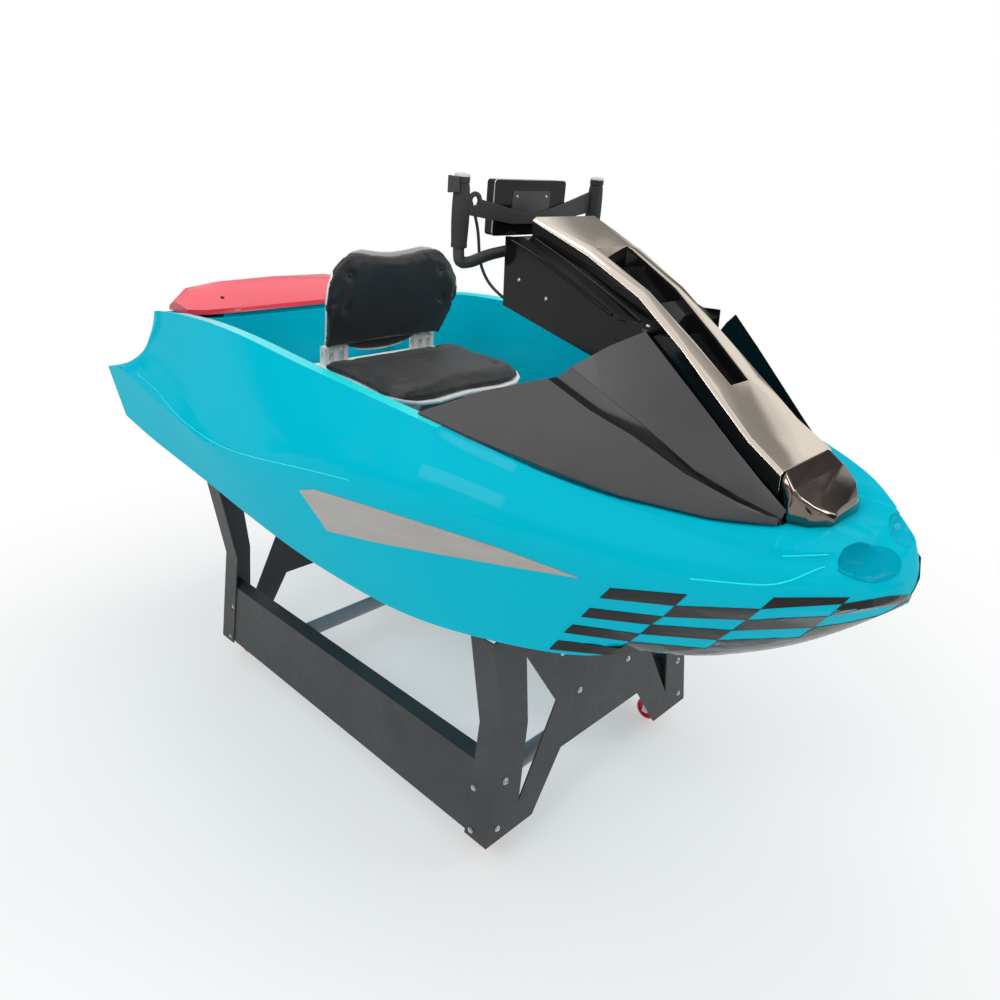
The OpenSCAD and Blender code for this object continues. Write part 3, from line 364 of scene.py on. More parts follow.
# Name, crease angle and levels of each skin
SKINNED = {"hull_shell": ("hull_skin", 40, 2), "deck": ("deck_skin", 46, 2)}
skins = {n: skin(n, *args) for n, args in SKINNED.items()}
REPLACED = {"seat_pad", "backrest_pad", "throttle_cable", "grips"} | set(SKINNED)
for n, o in nodes.items():
    if n not in REPLACED:
        soften(o, SOFT_EDGE.get(n, 0))


# Markings that follow the painted surface


def surface_tree(objects):
    """A search tree over the finished surfaces of these pieces."""
    dg = bpy.context.evaluated_depsgraph_get()
    verts, faces = [], []
    for o in objects:
        m = o.evaluated_get(dg).to_mesh()
        start = len(verts)
        verts += [o.matrix_world @ v.co for v in m.vertices]
        faces += [[start + i for i in p.vertices] for p in m.polygons]
    return BVHTree.FromPolygons(verts, faces)


bpy.context.view_layer.update()
HULL_TREE = surface_tree(list(skins.values()))
SEEK_STEPS, SEEK_PX = 40, 0.5


def sight(px, py):
    """Where the line of sight through this place in the picture meets the hull or deck."""
    hit = HULL_TREE.ray_cast(CAMERA_AT, sight_line(px, py))
    return hit[:2] if hit[0] is not None else None


def sight_near(px, py):
    """The same, moved up in the picture until it meets the surface."""
    for step in range(SEEK_STEPS):
        found = sight(px, py - SEEK_PX * step)
        if found:
            return found
    raise ValueError(f"nothing is seen at {px}, {py}")


def bridge(bm, loops):
    """Faces between neighbouring closed loops."""
    for a, b in zip(loops, loops[1:]):
        for i in range(len(a)):
            j = (i + 1) % len(a)
            bm.faces.new((a[i], a[j], b[j], b[i]))


def along(line, t):
    """The point a part t of the way along a line of points, by horizontal distance."""
    x0, x1 = line[0][0], line[-1][0]
    x = x0 + (x1 - x0) * t
    for a, b in zip(line, line[1:]):
        if x <= b[0] or b is line[-1]:
            k = (x - a[0]) / (b[0] - a[0]) if b[0] != a[0] else 0
            return (a[0] + (b[0] - a[0]) * k, a[1] + (b[1] - a[1]) * k)


PROUD, SUNK, JOIN_DIST = 0.0011, 0.0012, 0.000001


def marking(name, strips, mat, side_mirror=True, proud=PROUD, smooth=False):
    """A thin closed film over the surface, from strips (top line, bottom line, columns, rows)."""
    bm = bmesh.new()
    for top, bottom, cols, rows in strips:
        grid = []
        for i in range(cols + 1):
            a, b = along(top, i / cols), along(bottom, i / cols)
            shares = [j / rows for j in range(rows + 1)]
            grid.append([sight_near(a[0] + (b[0] - a[0]) * k, a[1] + (b[1] - a[1]) * k)
                         for k in shares])
        for side in ((1, -1) if side_mirror else (1,)):
            flip = Vector((1, side, 1))
            outer = [[bm.verts.new((p + n * proud) * flip) for p, n in c] for c in grid]
            inner = [[bm.verts.new((p - n * SUNK) * flip) for p, n in c] for c in grid]

            def face(*v):
                bm.faces.new(v if side == 1 else v[::-1])

            for i in range(cols):
                for j in range(rows):
                    face(outer[i][j], outer[i][j + 1], outer[i + 1][j + 1], outer[i + 1][j])
                    face(inner[i][j], inner[i + 1][j], inner[i + 1][j + 1], inner[i][j + 1])
                face(outer[i][0], outer[i + 1][0], inner[i + 1][0], inner[i][0])
                face(outer[i][rows], inner[i][rows], inner[i + 1][rows], outer[i + 1][rows])
            for j in range(rows):
                face(outer[0][j], inner[0][j], inner[0][j + 1], outer[0][j + 1])
                face(outer[cols][j], outer[cols][j + 1], inner[cols][j + 1], inner[cols][j])
    bmesh.ops.remove_doubles(bm, verts=bm.verts, dist=JOIN_DIST)
    bmesh.ops.recalc_face_normals(bm, faces=bm.faces)
    return new_piece(name, bm, mat, "craft", smooth=smooth)


def cell(a, b, c, d, cols=20, rows=4):
    """One cell of the chequer, from its corners: top left, top right, bottom right, bottom left."""
    return ((a, b), (d, c), cols, rows)


CHEQUER_CELLS = [
    cell((610.1, 587.8), (687.2, 594.4), (675.1, 605.6), (599.6, 597.7)),
    cell((589.6, 607.9), (663, 616.5), (650.9, 624.5), (581.3, 616.5)),
    cell((572.4, 624.5), (640, 633.7), (629.8, 641.3), (564.1, 632.4)),
    cell((675.1, 605.6), (760.5, 608.9), (747, 619.8), (663, 616.5)),
    cell((650.9, 624.5), (731.9, 630.1), (717.2, 639.8), (640, 633.7)),
    cell((773.9, 597.5), (849.8, 597.3), (842.8, 603.9), (760.5, 608.9)),
    cell((747, 619.8), (828.1, 616), (813.4, 627.5), (731.9, 630.4)),
]
LOWER_TOP = [(549.5, 648.5), (557.8, 640), (620, 648.2), (629.8, 641.3), (707, 648.3), (717.2, 640),
             (798.8, 637.2), (813.4, 627.5), (850, 622), (886.8, 613.4), (900.8, 603.2), (903, 602.5)]
LOWER_BOTTOM = [(549.5, 649), (620, 656), (680, 658), (760, 656.5), (800, 648), (840, 637),
                (870, 624), (890, 615), (903, 606)]
TIP_TOP = [(842.8, 603.9), (866.4, 600), (889.3, 596), (912, 594.6), (917, 594.8)]
TIP_BOTTOM = [(829.4, 616), (865, 610), (900.8, 603.2), (910, 600), (917, 596)]
chequer = marking("chequer", CHEQUER_CELLS + [(LOWER_TOP, LOWER_BOTTOM, 120, 10),
                                             (TIP_TOP, TIP_BOTTOM, 40, 6)], CHEQUER)

ACCENT_TOP = [(300, 490), (314, 489), (360, 503), (420, 522), (500, 548), (578, 577)]
ACCENT_BOTTOM = [(300, 491), (328, 531), (380, 543), (440, 554), (520, 568), (578, 577.6)]
SILVER_PROUD, RECESS_PROUD = 0.0014, 0.0016
accent = marking("side_accent", [(ACCENT_TOP, ACCENT_BOTTOM, 40, 4)], SILVER,
                 proud=SILVER_PROUD)

# Darker teal film that paints the shade in the starboard bow recess
RECESS_PAINTED_SHADE = material("recess_painted_shade", (0.0, 0.33, 0.46), 0.35, coat=0.04, vary=0.04, grain=14,
                       bump=0.005, bump_scale=12, wear=0.004, shine=0.0)
RECESS_TOP = [(838, 569.5), (839.5, 557), (843, 549.5), (852.8, 543.5), (864.3, 543), (873, 546),
              (883.5, 547.3), (892, 550), (897, 554), (901, 562)]
RECESS_BOTTOM = [(838, 570.5), (843, 574), (856.7, 579.7), (872, 582.6), (880, 581.6), (889, 579.7),
                 (895, 576), (899, 572), (901, 564)]
recess = marking("bow_recess_painted_shade", [(RECESS_TOP, RECESS_BOTTOM, 64, 16)], RECESS_PAINTED_SHADE, side_mirror=False,
                 proud=RECESS_PROUD, smooth=True)
recess.modifiers.new("sharp", "EDGE_SPLIT").split_angle = SMOOTH_ANGLE

# Black liner of the channels between the spine and the fins: place along the boat, half width
CHANNEL = [(0.672, 0.172), (0.70, 0.174), (0.75, 0.164), (0.80, 0.157), (0.85, 0.153), (0.90, 0.145),
           (0.95, 0.137), (0.985, 0.127)]
CHANNEL_INNER, CHANNEL_ROWS = 0.04, 10
LINER_PROUD, LINER_SUNK = Vector((0, 0, 0.0012)), Vector((0, 0, 0.0015))
ABOVE, DOWN = 1.7, Vector((0, 0, -1))
BOTH_SIDES = ((-1, "starboard"), (1, "port"))


def deck_below(x, y):
    """The place on the deck straight below a point high over it."""
    return HULL_TREE.ray_cast(Vector((x, y, ABOVE)), DOWN)[0]


for side, word in BOTH_SIDES:
    bm = bmesh.new()
    layers = []
    for x, w in CHANNEL:
        places = [deck_below(x, side * (CHANNEL_INNER + (w - CHANNEL_INNER) * j / CHANNEL_ROWS))
                  for j in range(CHANNEL_ROWS + 1)]
        layers.append(([bm.verts.new(p + LINER_PROUD) for p in places],
                       [bm.verts.new(p - LINER_SUNK) for p in places]))
    for (top_a, low_a), (top_b, low_b) in zip(layers, layers[1:]):
        for j in range(CHANNEL_ROWS):
            bm.faces.new((top_a[j], top_a[j + 1], top_b[j + 1], top_b[j]))
            bm.faces.new((low_a[j], low_b[j], low_b[j + 1], low_a[j + 1]))
        for j in (0, CHANNEL_ROWS):
            bm.faces.new((top_a[j], top_b[j], low_b[j], low_a[j]))
    for top, low in (layers[0], layers[-1]):
        for j in range(CHANNEL_ROWS):
            bm.faces.new((top[j], low[j], low[j + 1], top[j + 1]))
    bmesh.ops.recalc_face_normals(bm, faces=bm.faces)
    new_piece(f"channel_liner_{word}", bm, BLACK_DULL, "craft")

# Walls below the spine's edges, down to the deck: places along the boat and sizes, in metres
WALL_X = (0.585, 0.62, 0.66, 0.70, 0.75, 0.80, 0.85, 0.90, 0.94, 0.962)
WALL_Y, WALL_T, WALL_TOP, WALL_SUNK = 0.082, 0.004, 0.014, 0.002
WALL_EDGE_IN, WALL_EDGE_DOWN = 0.001, 0.002
# The spine's top, as (place along the boat, height), in millimetres
SPINE_Z = [(338, 1458), (480, 1396), (605, 1326), (715, 1240), (799, 1170), (886, 1097), (970, 1026)]


def spine_z(x):
    """Height of the spine's top at a place along the boat, in millimetres."""
    for (x0, z0), (x1, z1) in zip(SPINE_Z, SPINE_Z[1:]):
        if x <= x1:
            return z0 + (z1 - z0) * (x - x0) / (x1 - x0)


for side, word in BOTH_SIDES:
    bm = bmesh.new()
    sections = []
    for x in WALL_X:
        low = deck_below(x, side * WALL_Y).z - WALL_SUNK
        high = spine_z(x * 1000) / 1000 - WALL_TOP
        outline = ((0, low), (0, high - WALL_EDGE_DOWN), (WALL_EDGE_IN, high), (WALL_T, high),
                   (WALL_T, low))
        sections.append([bm.verts.new((x, side * (WALL_Y - inward), z)) for inward, z in outline])
    bridge(bm, sections)
    bm.faces.new(sections[0])
    bm.faces.new(sections[-1][::-1])
    bmesh.ops.recalc_face_normals(bm, faces=bm.faces)
    new_piece(f"spine_wall_{word}", bm, BLACK_DULL, "craft", smooth=False)


# Cushions

VOXEL, CLOTH_FRAMES = 0.006, 20
DENT_REACH, DENT_FACING, DENT_FALL = 2.4, -0.2, 1.6
HINGE, SEAT_TILT, BACK_TILT = (-0.365, 1.084), 6, 14
OUTSIDE, BUTTON_SIDES = 0.15, 20


def cushion(node, name, pressure, cap, reshape):
    """A stuffed pad grown by cloth pressure, up to cap, from a reshaped copy of the node's form."""
    bm = bmesh.new()
    bm.from_mesh(nodes[node].data)
    bmesh.ops.remove_doubles(bm, verts=bm.verts, dist=WELD_DIST)
    for v in bm.verts:
        v.co = reshape(v.co)
    o = new_piece(name, bm, FINISH["seat_padding"], None)
    remesh = o.modifiers.new("cover", "REMESH")
    remesh.mode = "VOXEL"
    remesh.voxel_size = VOXEL
    bpy.context.view_layer.objects.active = o
    for other in bpy.context.selected_objects:
        other.select_set(False)
    o.select_set(True)
    bpy.ops.object.modifier_apply(modifier="cover")
    start = np.array([v.co for v in o.data.vertices])
    cloth = o.modifiers.new("fill", "CLOTH")
    s = cloth.settings
    s.quality = 6
    s.mass = 0.3
    s.tension_stiffness = 14
    s.compression_stiffness = 14
    s.bending_stiffness = 4
    s.use_pressure = True
    s.uniform_pressure_force = pressure
    s.effector_weights.gravity = 0
    cloth.collision_settings.use_collision = False
    scene.frame_start, scene.frame_end = 1, CLOTH_FRAMES
    for f in range(1, CLOTH_FRAMES + 1):
        scene.frame_set(f)
    bpy.ops.object.modifier_apply(modifier="fill")
    scene.frame_set(1)
    end = np.array([v.co for v in o.data.vertices])
    step = end - start
    length = np.linalg.norm(step, axis=1)
    scale = np.where(length > cap, cap / np.maximum(length, 1e-9), 1)
    end = start + step * scale[:, None]
    for v, p in zip(o.data.vertices, end):
        v.co = p
    return o


def dent(o, points, radius, depth, pull):
    """Tufts: presses the cover in round each point, along pull."""
    for v in o.data.vertices:
        for p in points:
            d = (v.co - p).length
            if d < radius * DENT_REACH and v.normal.dot(pull) < DENT_FACING:
                v.co += pull * depth * math.exp(-((d / radius) ** 2) * DENT_FALL)


def tilted(origin, degrees, x, y, z):
    """A point of the shared frame, from millimetres in a frame tilted about its origin (x, z)."""
    a = math.radians(degrees)
    return Vector((origin[0] + (x * math.cos(a) + z * math.sin(a)) / 1000, y / 1000,
                   origin[1] + (-x * math.sin(a) + z * math.cos(a)) / 1000))


def on_seat(x, y, z):
    """A point of the shared frame, from millimetres in the seat's own frame."""
    return tilted(HINGE, SEAT_TILT, x, y, z)


def on_back(x, y, z):
    """A point of the shared frame, from millimetres in the backrest's own frame."""
    return tilted(HINGE, BACK_TILT, x, y, z)


def nearest_on(o, p, outward):
    """The surface point under p, looked for from outside, or p itself."""
    tree = BVHTree.FromObject(o, bpy.context.evaluated_depsgraph_get())
    hit = tree.ray_cast(p + outward * OUTSIDE, -outward)
    return hit[0] if hit[0] is not None else p


def turned_form(at, axis, profile, sides):
    """A closed turned form from a profile of (radius, height along the axis), in metres."""
    bm = bmesh.new()
    turned = axis.to_track_quat("Z", "Y").to_matrix()
    loops = []
    for r, h in profile:
        loops.append([bm.verts.new(at + turned @ Vector((r * math.cos(2 * math.pi * i / sides),
                                                         r * math.sin(2 * math.pi * i / sides), h)))
                      for i in range(sides)])
    bridge(bm, loops)
    bm.faces.new(loops[-1])
    bm.faces.new(loops[0][::-1])
    bmesh.ops.recalc_face_normals(bm, faces=bm.faces)
    return bm


def button(name, p, n, radius, mat, body, height=0.003):
    """A low domed disc at p facing n."""
    rings = [(radius, -height), (radius, 0), (radius * 0.86, height * 0.6),
             (radius * 0.5, height * 0.95)]
    return new_piece(name, turned_form(p, n, rings, BUTTON_SIDES), mat, body)


# With the backrest folded right down, this plane parts the cushions, in millimetres from the hinge
PARTING_Z, PARTING_SLOPE, PARTING_GAP, FOLD_LIMIT = -23.5, 0.07, 1.2, math.radians(55)
TUFT_RADIUS, TUFT_DEPTH, TUFT_BUTTON, TUFT_SUNK = 0.016, 0.008, 0.0075, 0.0006


def press(o, folding):
    """Presses a cushion flat where it would pass the parting plane, as the other cushion would."""
    c, s = (math.cos(FOLD_LIMIT), math.sin(FOLD_LIMIT)) if folding else (1, 0)
    way = 1 if folding else -1
    for v in o.data.vertices:
        x, z = (v.co.x - HINGE[0]) * 1000, (v.co.z - HINGE[1]) * 1000
        x, z = x * c + z * s, -x * s + z * c
        limit = PARTING_Z + PARTING_SLOPE * x + way * PARTING_GAP
        if (z - limit) * way < 0:
            v.co.x = HINGE[0] + (x * c - limit * s) / 1000
            v.co.z = HINGE[1] + (x * s + limit * c) / 1000


def finish_pad(o, node, body, tufts, pull):
    """Presses, tufts and smooths a cushion, and lets it take its node's place."""
    press(o, body == "backrest")
    bpy.context.view_layer.objects.active = o
    seats = [nearest_on(o, p, -pull) for p in tufts]
    dent(o, seats, TUFT_RADIUS, TUFT_DEPTH, pull)
    sub = o.modifiers.new("surface", "SUBSURF")
    sub.levels = sub.render_levels = 1
    bpy.context.view_layer.update()
    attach(o, body)
    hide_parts(node)
    for i, p in enumerate(tufts):
        q = nearest_on(o, p, -pull)
        button(f"{o.name}_tuft_{i}", q - pull * TUFT_SUNK, -pull, TUFT_BUTTON, FINISH["seat_padding"],
               body)


def in_frame(co, degrees):
    """Millimetres in the seat's or backrest's own frame, from a point of the shared frame."""
    a = math.radians(degrees)
    x, z = (co.x - HINGE[0]) * 1000, (co.z - HINGE[1]) * 1000
    return x * math.cos(a) - z * math.sin(a), co.y * 1000, x * math.sin(a) + z * math.cos(a)


SEAT_MIDDLE, SEAT_LOW, SEAT_LONGER, SEAT_WIDER, SEAT_THINNER = 200, -34, 1.055, 1.06, 0.88
BACK_FOOT, BACK_LOW, BACK_FORWARD = 38, 5, 2
BACK_TALLER, BACK_WIDER, BACK_THINNER = 1.2, 1.055, 0.9


def seat_form(co):
    """The seat's cover reaches a little over the pan's edge, and is thinner before it is filled."""
    x, y, z = in_frame(co, SEAT_TILT)
    return on_seat(SEAT_MIDDLE + (x - SEAT_MIDDLE) * SEAT_LONGER, y * SEAT_WIDER,
                   SEAT_LOW + (z - SEAT_LOW) * SEAT_THINNER)


def back_form(co):
    """The backrest's cover reaches down to the hinge and up to the shell's edge."""
    x, y, z = in_frame(co, BACK_TILT)
    return on_back(x * BACK_THINNER + BACK_FORWARD, y * BACK_WIDER,
                   BACK_LOW + (z - BACK_FOOT) * BACK_TALLER)


SEAT_TUFTS = [on_seat(80, 150, 10), on_seat(80, -150, 10), on_seat(205, 0, 10),
              on_seat(325, 165, 10), on_seat(325, -165, 10)]
BACK_TUFTS = [on_back(20, y, z) for y, z in ((-160, 225), (160, 225), (-168, 140), (168, 140))]
SEAT_UP = (on_seat(0, 0, 1) - on_seat(0, 0, 0)).normalized()
BACK_OUT = (on_back(1, 0, 0) - on_back(0, 0, 0)).normalized()
seat_cushion = cushion("seat_pad", "seat_cushion", pressure=4.0, cap=0.012, reshape=seat_form)
finish_pad(seat_cushion, "seat_pad", "craft", SEAT_TUFTS, -SEAT_UP)
back_cushion = cushion("backrest_pad", "backrest_cushion", pressure=3.5, cap=0.010, reshape=back_form)
finish_pad(back_cushion, "backrest_pad", "backrest", BACK_TUFTS, -BACK_OUT)

# Flap of cloth below the backrest's cushion, from hinge to hinge, as (across, up) in its own frame
FLAP = [(-132, 26), (-128, 8), (-106, -3), (-70, -10), (-34, -14), (0, -15), (34, -14), (70, -10),
        (106, -3), (128, 8), (132, 26), (66, 34), (0, 36), (-66, 34)]
# Its rings from the back to the front: place, size
FLAP_RINGS = ((-4, 0.9), (-3, 1), (4, 0.97), (5.4, 0.8), (6, 0.4))
bm = bmesh.new()
middle_z = sum(z for _, z in FLAP) / len(FLAP)
flap_rings = [[bm.verts.new(on_back(x, y * size, middle_z + (z - middle_z) * size)) for y, z in FLAP]
              for x, size in FLAP_RINGS]
bridge(bm, flap_rings)
bm.faces.new(flap_rings[0])
bm.faces.new(flap_rings[-1])
bmesh.ops.recalc_face_normals(bm, faces=bm.faces)
new_piece("backrest_flap", bm, FINISH["seat_padding"], "backrest")


# Steering details

COLUMN_AT, COLUMN_TILT = (0.288, 1.385), 5


def column(x, y, z):
    """A point of the shared frame, from millimetres in the column's own frame."""
    return tilted(COLUMN_AT, COLUMN_TILT, x, y, z)


def lathe(name, base, axis, profile, mat, body, sides=32):
    """A turned piece: profile is (radius, height along axis) from base, in metres."""
    o = new_piece(name, turned_form(base, axis, profile, sides), mat, body, smooth=True)
    o.modifiers.new("sharp", "EDGE_SPLIT").split_angle = SMOOTH_ANGLE
    return o


# Grips: place in the column's frame, and their profiles as (radius, height)
GRIP_X, GRIP_Y, GRIP_LOW, CAP_UP = -58, 221, 4.0, 142.6
GRIP_STEPS, GRIP_FROM, GRIP_RUN = 15, 0.004, 0.122
GRIP_THIN, GRIP_SWELL, GRIP_ROUND = 0.0162, 0.0028, 0.8
GRIP_PROFILE = [(0.0130, 0.0), (0.0168, 0.0008), (0.0176, GRIP_FROM)]
for i in range(1, GRIP_STEPS):
    k = i / GRIP_STEPS
    GRIP_PROFILE.append((GRIP_THIN + GRIP_SWELL * math.sin(math.pi * k) ** GRIP_ROUND,
                         GRIP_FROM + GRIP_RUN * k))
GRIP_PROFILE += [(0.0160, 0.1265), (0.0150, 0.1275), (0.0150, 0.1290), (0.0163, 0.1300),
                 (0.0163, 0.1415)]
CAP_PROFILE = [(0.0166, -0.0015), (0.0166, 0.0012), (0.0150, 0.0034), (0.009, 0.0048)]
AXIS = (column(0, 0, 1) - column(0, 0, 0)).normalized()
for side, word in BOTH_SIDES:
    lathe(f"grip_{word}", column(GRIP_X, side * GRIP_Y, GRIP_LOW), AXIS, GRIP_PROFILE,
                       FINISH["grip_rubber"], "steering")
    lathe(f"grip_cap_{word}", column(GRIP_X, side * GRIP_Y, GRIP_LOW + CAP_UP), AXIS, CAP_PROFILE,
          CAP_PALE, "steering")
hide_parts("grips")

CABLE_R, LIP_R, RIM_R, BEAD_R = 0.0035, 0.0024, 0.0017, 0.0035


def tube(name, points, radius, mat, body=None, sides=12):
    """A round cable or bead through these points, bent smoothly."""
    curve = bpy.data.curves.new(name, "CURVE")
    curve.dimensions = "3D"
    curve.bevel_depth = radius
    curve.bevel_resolution = sides // 4
    curve.resolution_u = 6
    curve.use_fill_caps = True
    spline = curve.splines.new("NURBS")
    spline.points.add(len(points) - 1)
    for s, p in zip(spline.points, points):
        s.co = (*p, 1)
    spline.order_u = 4
    spline.use_endpoint_u = True
    holder = bpy.data.objects.new(name + "_curve", curve)
    scene.collection.objects.link(holder)
    bpy.context.view_layer.update()
    shown = holder.evaluated_get(bpy.context.evaluated_depsgraph_get())
    mesh = bpy.data.meshes.new_from_object(shown)
    bpy.data.objects.remove(holder)
    mesh.name = name
    mesh.materials.clear()
    mesh.materials.append(mat)
    mesh.polygons.foreach_set("use_smooth", [True] * len(mesh.polygons))
    o = bpy.data.objects.new(name, mesh)
    scene.collection.objects.link(o)
    if body:
        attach(o, body)
    return o


CABLE = [(-64.5, -203.6, 121), (-72, -186, 108), (-75, -168, 78), (-74, -156, 48), (-72, -150, 18),
         (-71, -147, -22), (-58, -143, -56), (-34, -138, -82), (-2, -132, -97)]
cable = tube("throttle_cable_sheath", [column(*p) for p in CABLE], CABLE_R, FINISH["cable_rubber"])
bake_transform(cable)
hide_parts("throttle_cable")

# Lip of the shell below the backrest, as (across, up) in its own frame
LIP = [(-84, -10), (-60, -15), (-30, -18.5), (0, -20), (30, -18.5), (60, -15), (84, -10)]
tube("backrest_lip", [on_back(0, y, z) for y, z in LIP], LIP_R, FINISH["seat_shell"],
             "backrest")

# Moulded beads in pale cyan, a painted highlight, on the bow deck and along the hull's rear side:
# line, radius
BEADS_PAINTED_HIGHLIGHT = [([(782, 556.5), (797, 556), (812, 555.5), (828, 554.8)], 0.0014),
             ([(690, 578.7), (738, 583.5), (766, 586), (782, 583), (797, 578.7), (812, 571),
               (824, 567)], 0.0016),
             ([(123, 366), (136, 373), (151, 384), (163, 398), (176, 415), (193, 429), (219, 446.5),
               (252.5, 457), (289, 465), (319, 472), (350, 480)], 0.0013)]
PAINTED_HIGHLIGHT_PROUD = 0.0009
for i, (line, radius) in enumerate(BEADS_PAINTED_HIGHLIGHT):
    hits = [sight_near(*q) for q in line]
    for side, word in ((1, "starboard"), (-1, "port")):
        points = [(p + n * PAINTED_HIGHLIGHT_PROUD) * Vector((1, side, 1)) for p, n in hits]
        bead = tube(f"lit_bead_{i}_{word}", points, radius, TEAL_PAINTED_HIGHLIGHT, "craft")


# Bolts and screws

# Profiles of a bolt's washer and head, as (share of the bolt's radius, height)
WASHER, WASHER_SIDES = [(1.35, -0.001), (1.35, 0.0008), (1.28, 0.0012)], 24
HEAD, HEAD_SIDES = [(1, 0.0006), (1, 0.0032), (0.82, 0.004)], 6
TROLLEY_BOLT_R, CRADLE_BOLT_R, SCREW_R, SCREW_HIGH = 0.0058, 0.0062, 0.0048, 0.0028
BEYOND = 0.05
# The side that the picture shows and its mirror, with the letter that their pieces end on
FLIPS = ((Vector((1, 1, 1)), "p"), (Vector((1, -1, 1)), "s"))


def bolt(name, p, n, radius):
    """A hexagon head on a washer."""
    for piece, profile, sides in ((name + "_washer", WASHER, WASHER_SIDES), (name, HEAD, HEAD_SIDES)):
        lathe(piece, p, n, [(radius * r, h) for r, h in profile], FINISH["steel"], "craft",
              sides=sides)


def node_tree(*names):
    """A search tree over these CAD nodes as they are shown."""
    return surface_tree([nodes[n] for n in names])


def see_on(tree, px, py):
    """Where the line of sight through this place in the picture meets these pieces."""
    d = sight_line(px, py)
    hit = tree.ray_cast(CAMERA_AT, d)
    if hit[0] is None:
        return None
    n = hit[1] if hit[1].dot(d) < 0 else -hit[1]
    return hit[0], n


def land_on(tree, p, n):
    """The surface point under p, looked for from outside along n."""
    return tree.ray_cast(p + n * BEYOND, -n)[0]


# Bolts of the trolley: place and the way they face, repeated on all four corners
TROLLEY_MIDDLE_X = -0.115
TROLLEY_BOLTS = [((0.535, -0.358, 0.242), (1, 0, 0)), ((0.535, -0.382, 0.114), (1, 0, 0)),
                 ((0.471, -0.371, 0.204), (0, -1, 0)), ((0.480, -0.400, 0.094), (0, -1, 0))]
frames_tree = node_tree("trolley_front_frame", "trolley_rear_frame", "trolley_boards")
count = 0
for (x, y, z), n in TROLLEY_BOLTS:
    for end in (1, -1):
        for side in (1, -1):
            p = Vector((x if end > 0 else 2 * TROLLEY_MIDDLE_X - x, y * side, z))
            facing = Vector((n[0] * end, n[1] * side, 0))
            at = land_on(frames_tree, p, facing)
            if at is not None:
                count += 1
                bolt(f"trolley_bolt_{count}", at, facing, TROLLEY_BOLT_R)
for i, (px, py) in enumerate([(563, 652.5), (628, 658.5), (677.5, 661)]):
    found = see_on(frames_tree, px, py)
    if found:
        for flip, letter in FLIPS:
            bolt(f"cradle_bolt_{i}_{letter}", found[0] * flip, found[1] * flip, CRADLE_BOLT_R)

console_tree = node_tree("console_sides", "console_brackets", "nose_spine")
for i, (px, py) in enumerate([(519, 280), (546, 299), (648, 326)]):
    found = see_on(console_tree, px, py)
    if found:
        for flip, letter in FLIPS:
            button(f"console_screw_{i}_{letter}", found[0] * flip, found[1] * flip, SCREW_R,
                   FINISH["steel"], "craft", height=SCREW_HIGH)

# Moulded beads along the console's shoulder
BEADS = [[(512, 241), (530, 251), (550, 265.5), (584, 293), (612, 315), (640, 337)],
         [(535, 239), (560, 257), (590, 279), (620, 303), (640, 322)]]
BEAD_PROUD, BEAD_LEAST = 0.0005, 4
sides_tree = node_tree("console_sides")
for i, line in enumerate(BEADS):
    hits = [see_on(sides_tree, *q) for q in line]
    points = [h[0] + h[1] * BEAD_PROUD for h in hits if h]
    if len(points) >= BEAD_LEAST:
        for flip, letter in FLIPS:
            b = tube(f"console_bead_{i}_{letter}", [p * flip for p in points], BEAD_R,
                     FINISH["gloss_black"], "craft")

# Lining of the spine's opening, as (place along the boat, depth) of each section, in millimetres
LINING = [(469, 42), (500, 46), (560, 50), (612, 50), (618, 12), (650, 12), (656, 46), (720, 46),
          (770, 42), (799, 38)]
# Half width of the opening at its rear and front end, where it starts and how long it is
OPEN_REAR, OPEN_FRONT, OPEN_FROM, OPEN_LONG = 55, 33, 468, 332
LINING_IN, LINING_DOWN, LINING_T = 0.6, 4, 3
bm = bmesh.new()
rings = []
for x, depth in LINING:
    w = OPEN_REAR + (OPEN_FRONT - OPEN_REAR) * (x - OPEN_FROM) / OPEN_LONG - LINING_IN
    z = spine_z(x) - LINING_DOWN
    t = LINING_T
    rings.append([bm.verts.new((x / 1000, y / 1000, v / 1000)) for y, v in (
        (-w, z), (-w, z - depth), (w, z - depth), (w, z), (w - t, z), (w - t, z - depth + t),
        (-w + t, z - depth + t), (-w + t, z))])
bridge(bm, rings)
for ring, order in ((rings[0], 1), (rings[-1], -1)):
    for quad in ((0, 1, 6, 7), (1, 2, 5, 6), (2, 3, 4, 5)):
        bm.faces.new([ring[i] for i in quad][::order])
bmesh.ops.recalc_face_normals(bm, faces=bm.faces)
new_piece("spine_lining", bm, FINISH["gloss_black"], "craft", smooth=False)

# Display: silver rim, recessed back plate and blank screen
DISPLAY_BACK, DISPLAY_T, RIM_IN, SCREW_OUT = -65.3, 26, 3, 2.2
CORNER_STEP, SLAB_SUNK, SLAB_EDGE, PLATE_T, SCREEN_T = 18, 0.001, 0.6, 0.0022, 0.0012
# Half width, lower and upper edge and corner radius of each outline, in millimetres
RIM_OUTLINE = (115.5, 24.5, 139.5, 8)
PLATE_OUTLINE, SCREEN_OUTLINE = (62, 62, 118, 5), (104, 34, 130, 5)
DISPLAY_SCREWS_Y, DISPLAY_SCREWS_Z = (-48, 48), 106
DISPLAY_SCREW_R, DISPLAY_SCREW_HIGH = 0.0035, 0.0016


def rounded(half_w, low, high, r, x):
    """A rounded rectangle across the column's frame."""
    points = []
    for cy, cz, start in ((half_w - r, high - r, 0), (-half_w + r, high - r, 90),
                          (-half_w + r, low + r, 180), (half_w - r, low + r, 270)):
        for k in range(0, 91, CORNER_STEP):
            a = math.radians(start + k)
            points.append(column(x, cy + r * math.cos(a), cz + r * math.sin(a)))
    return points


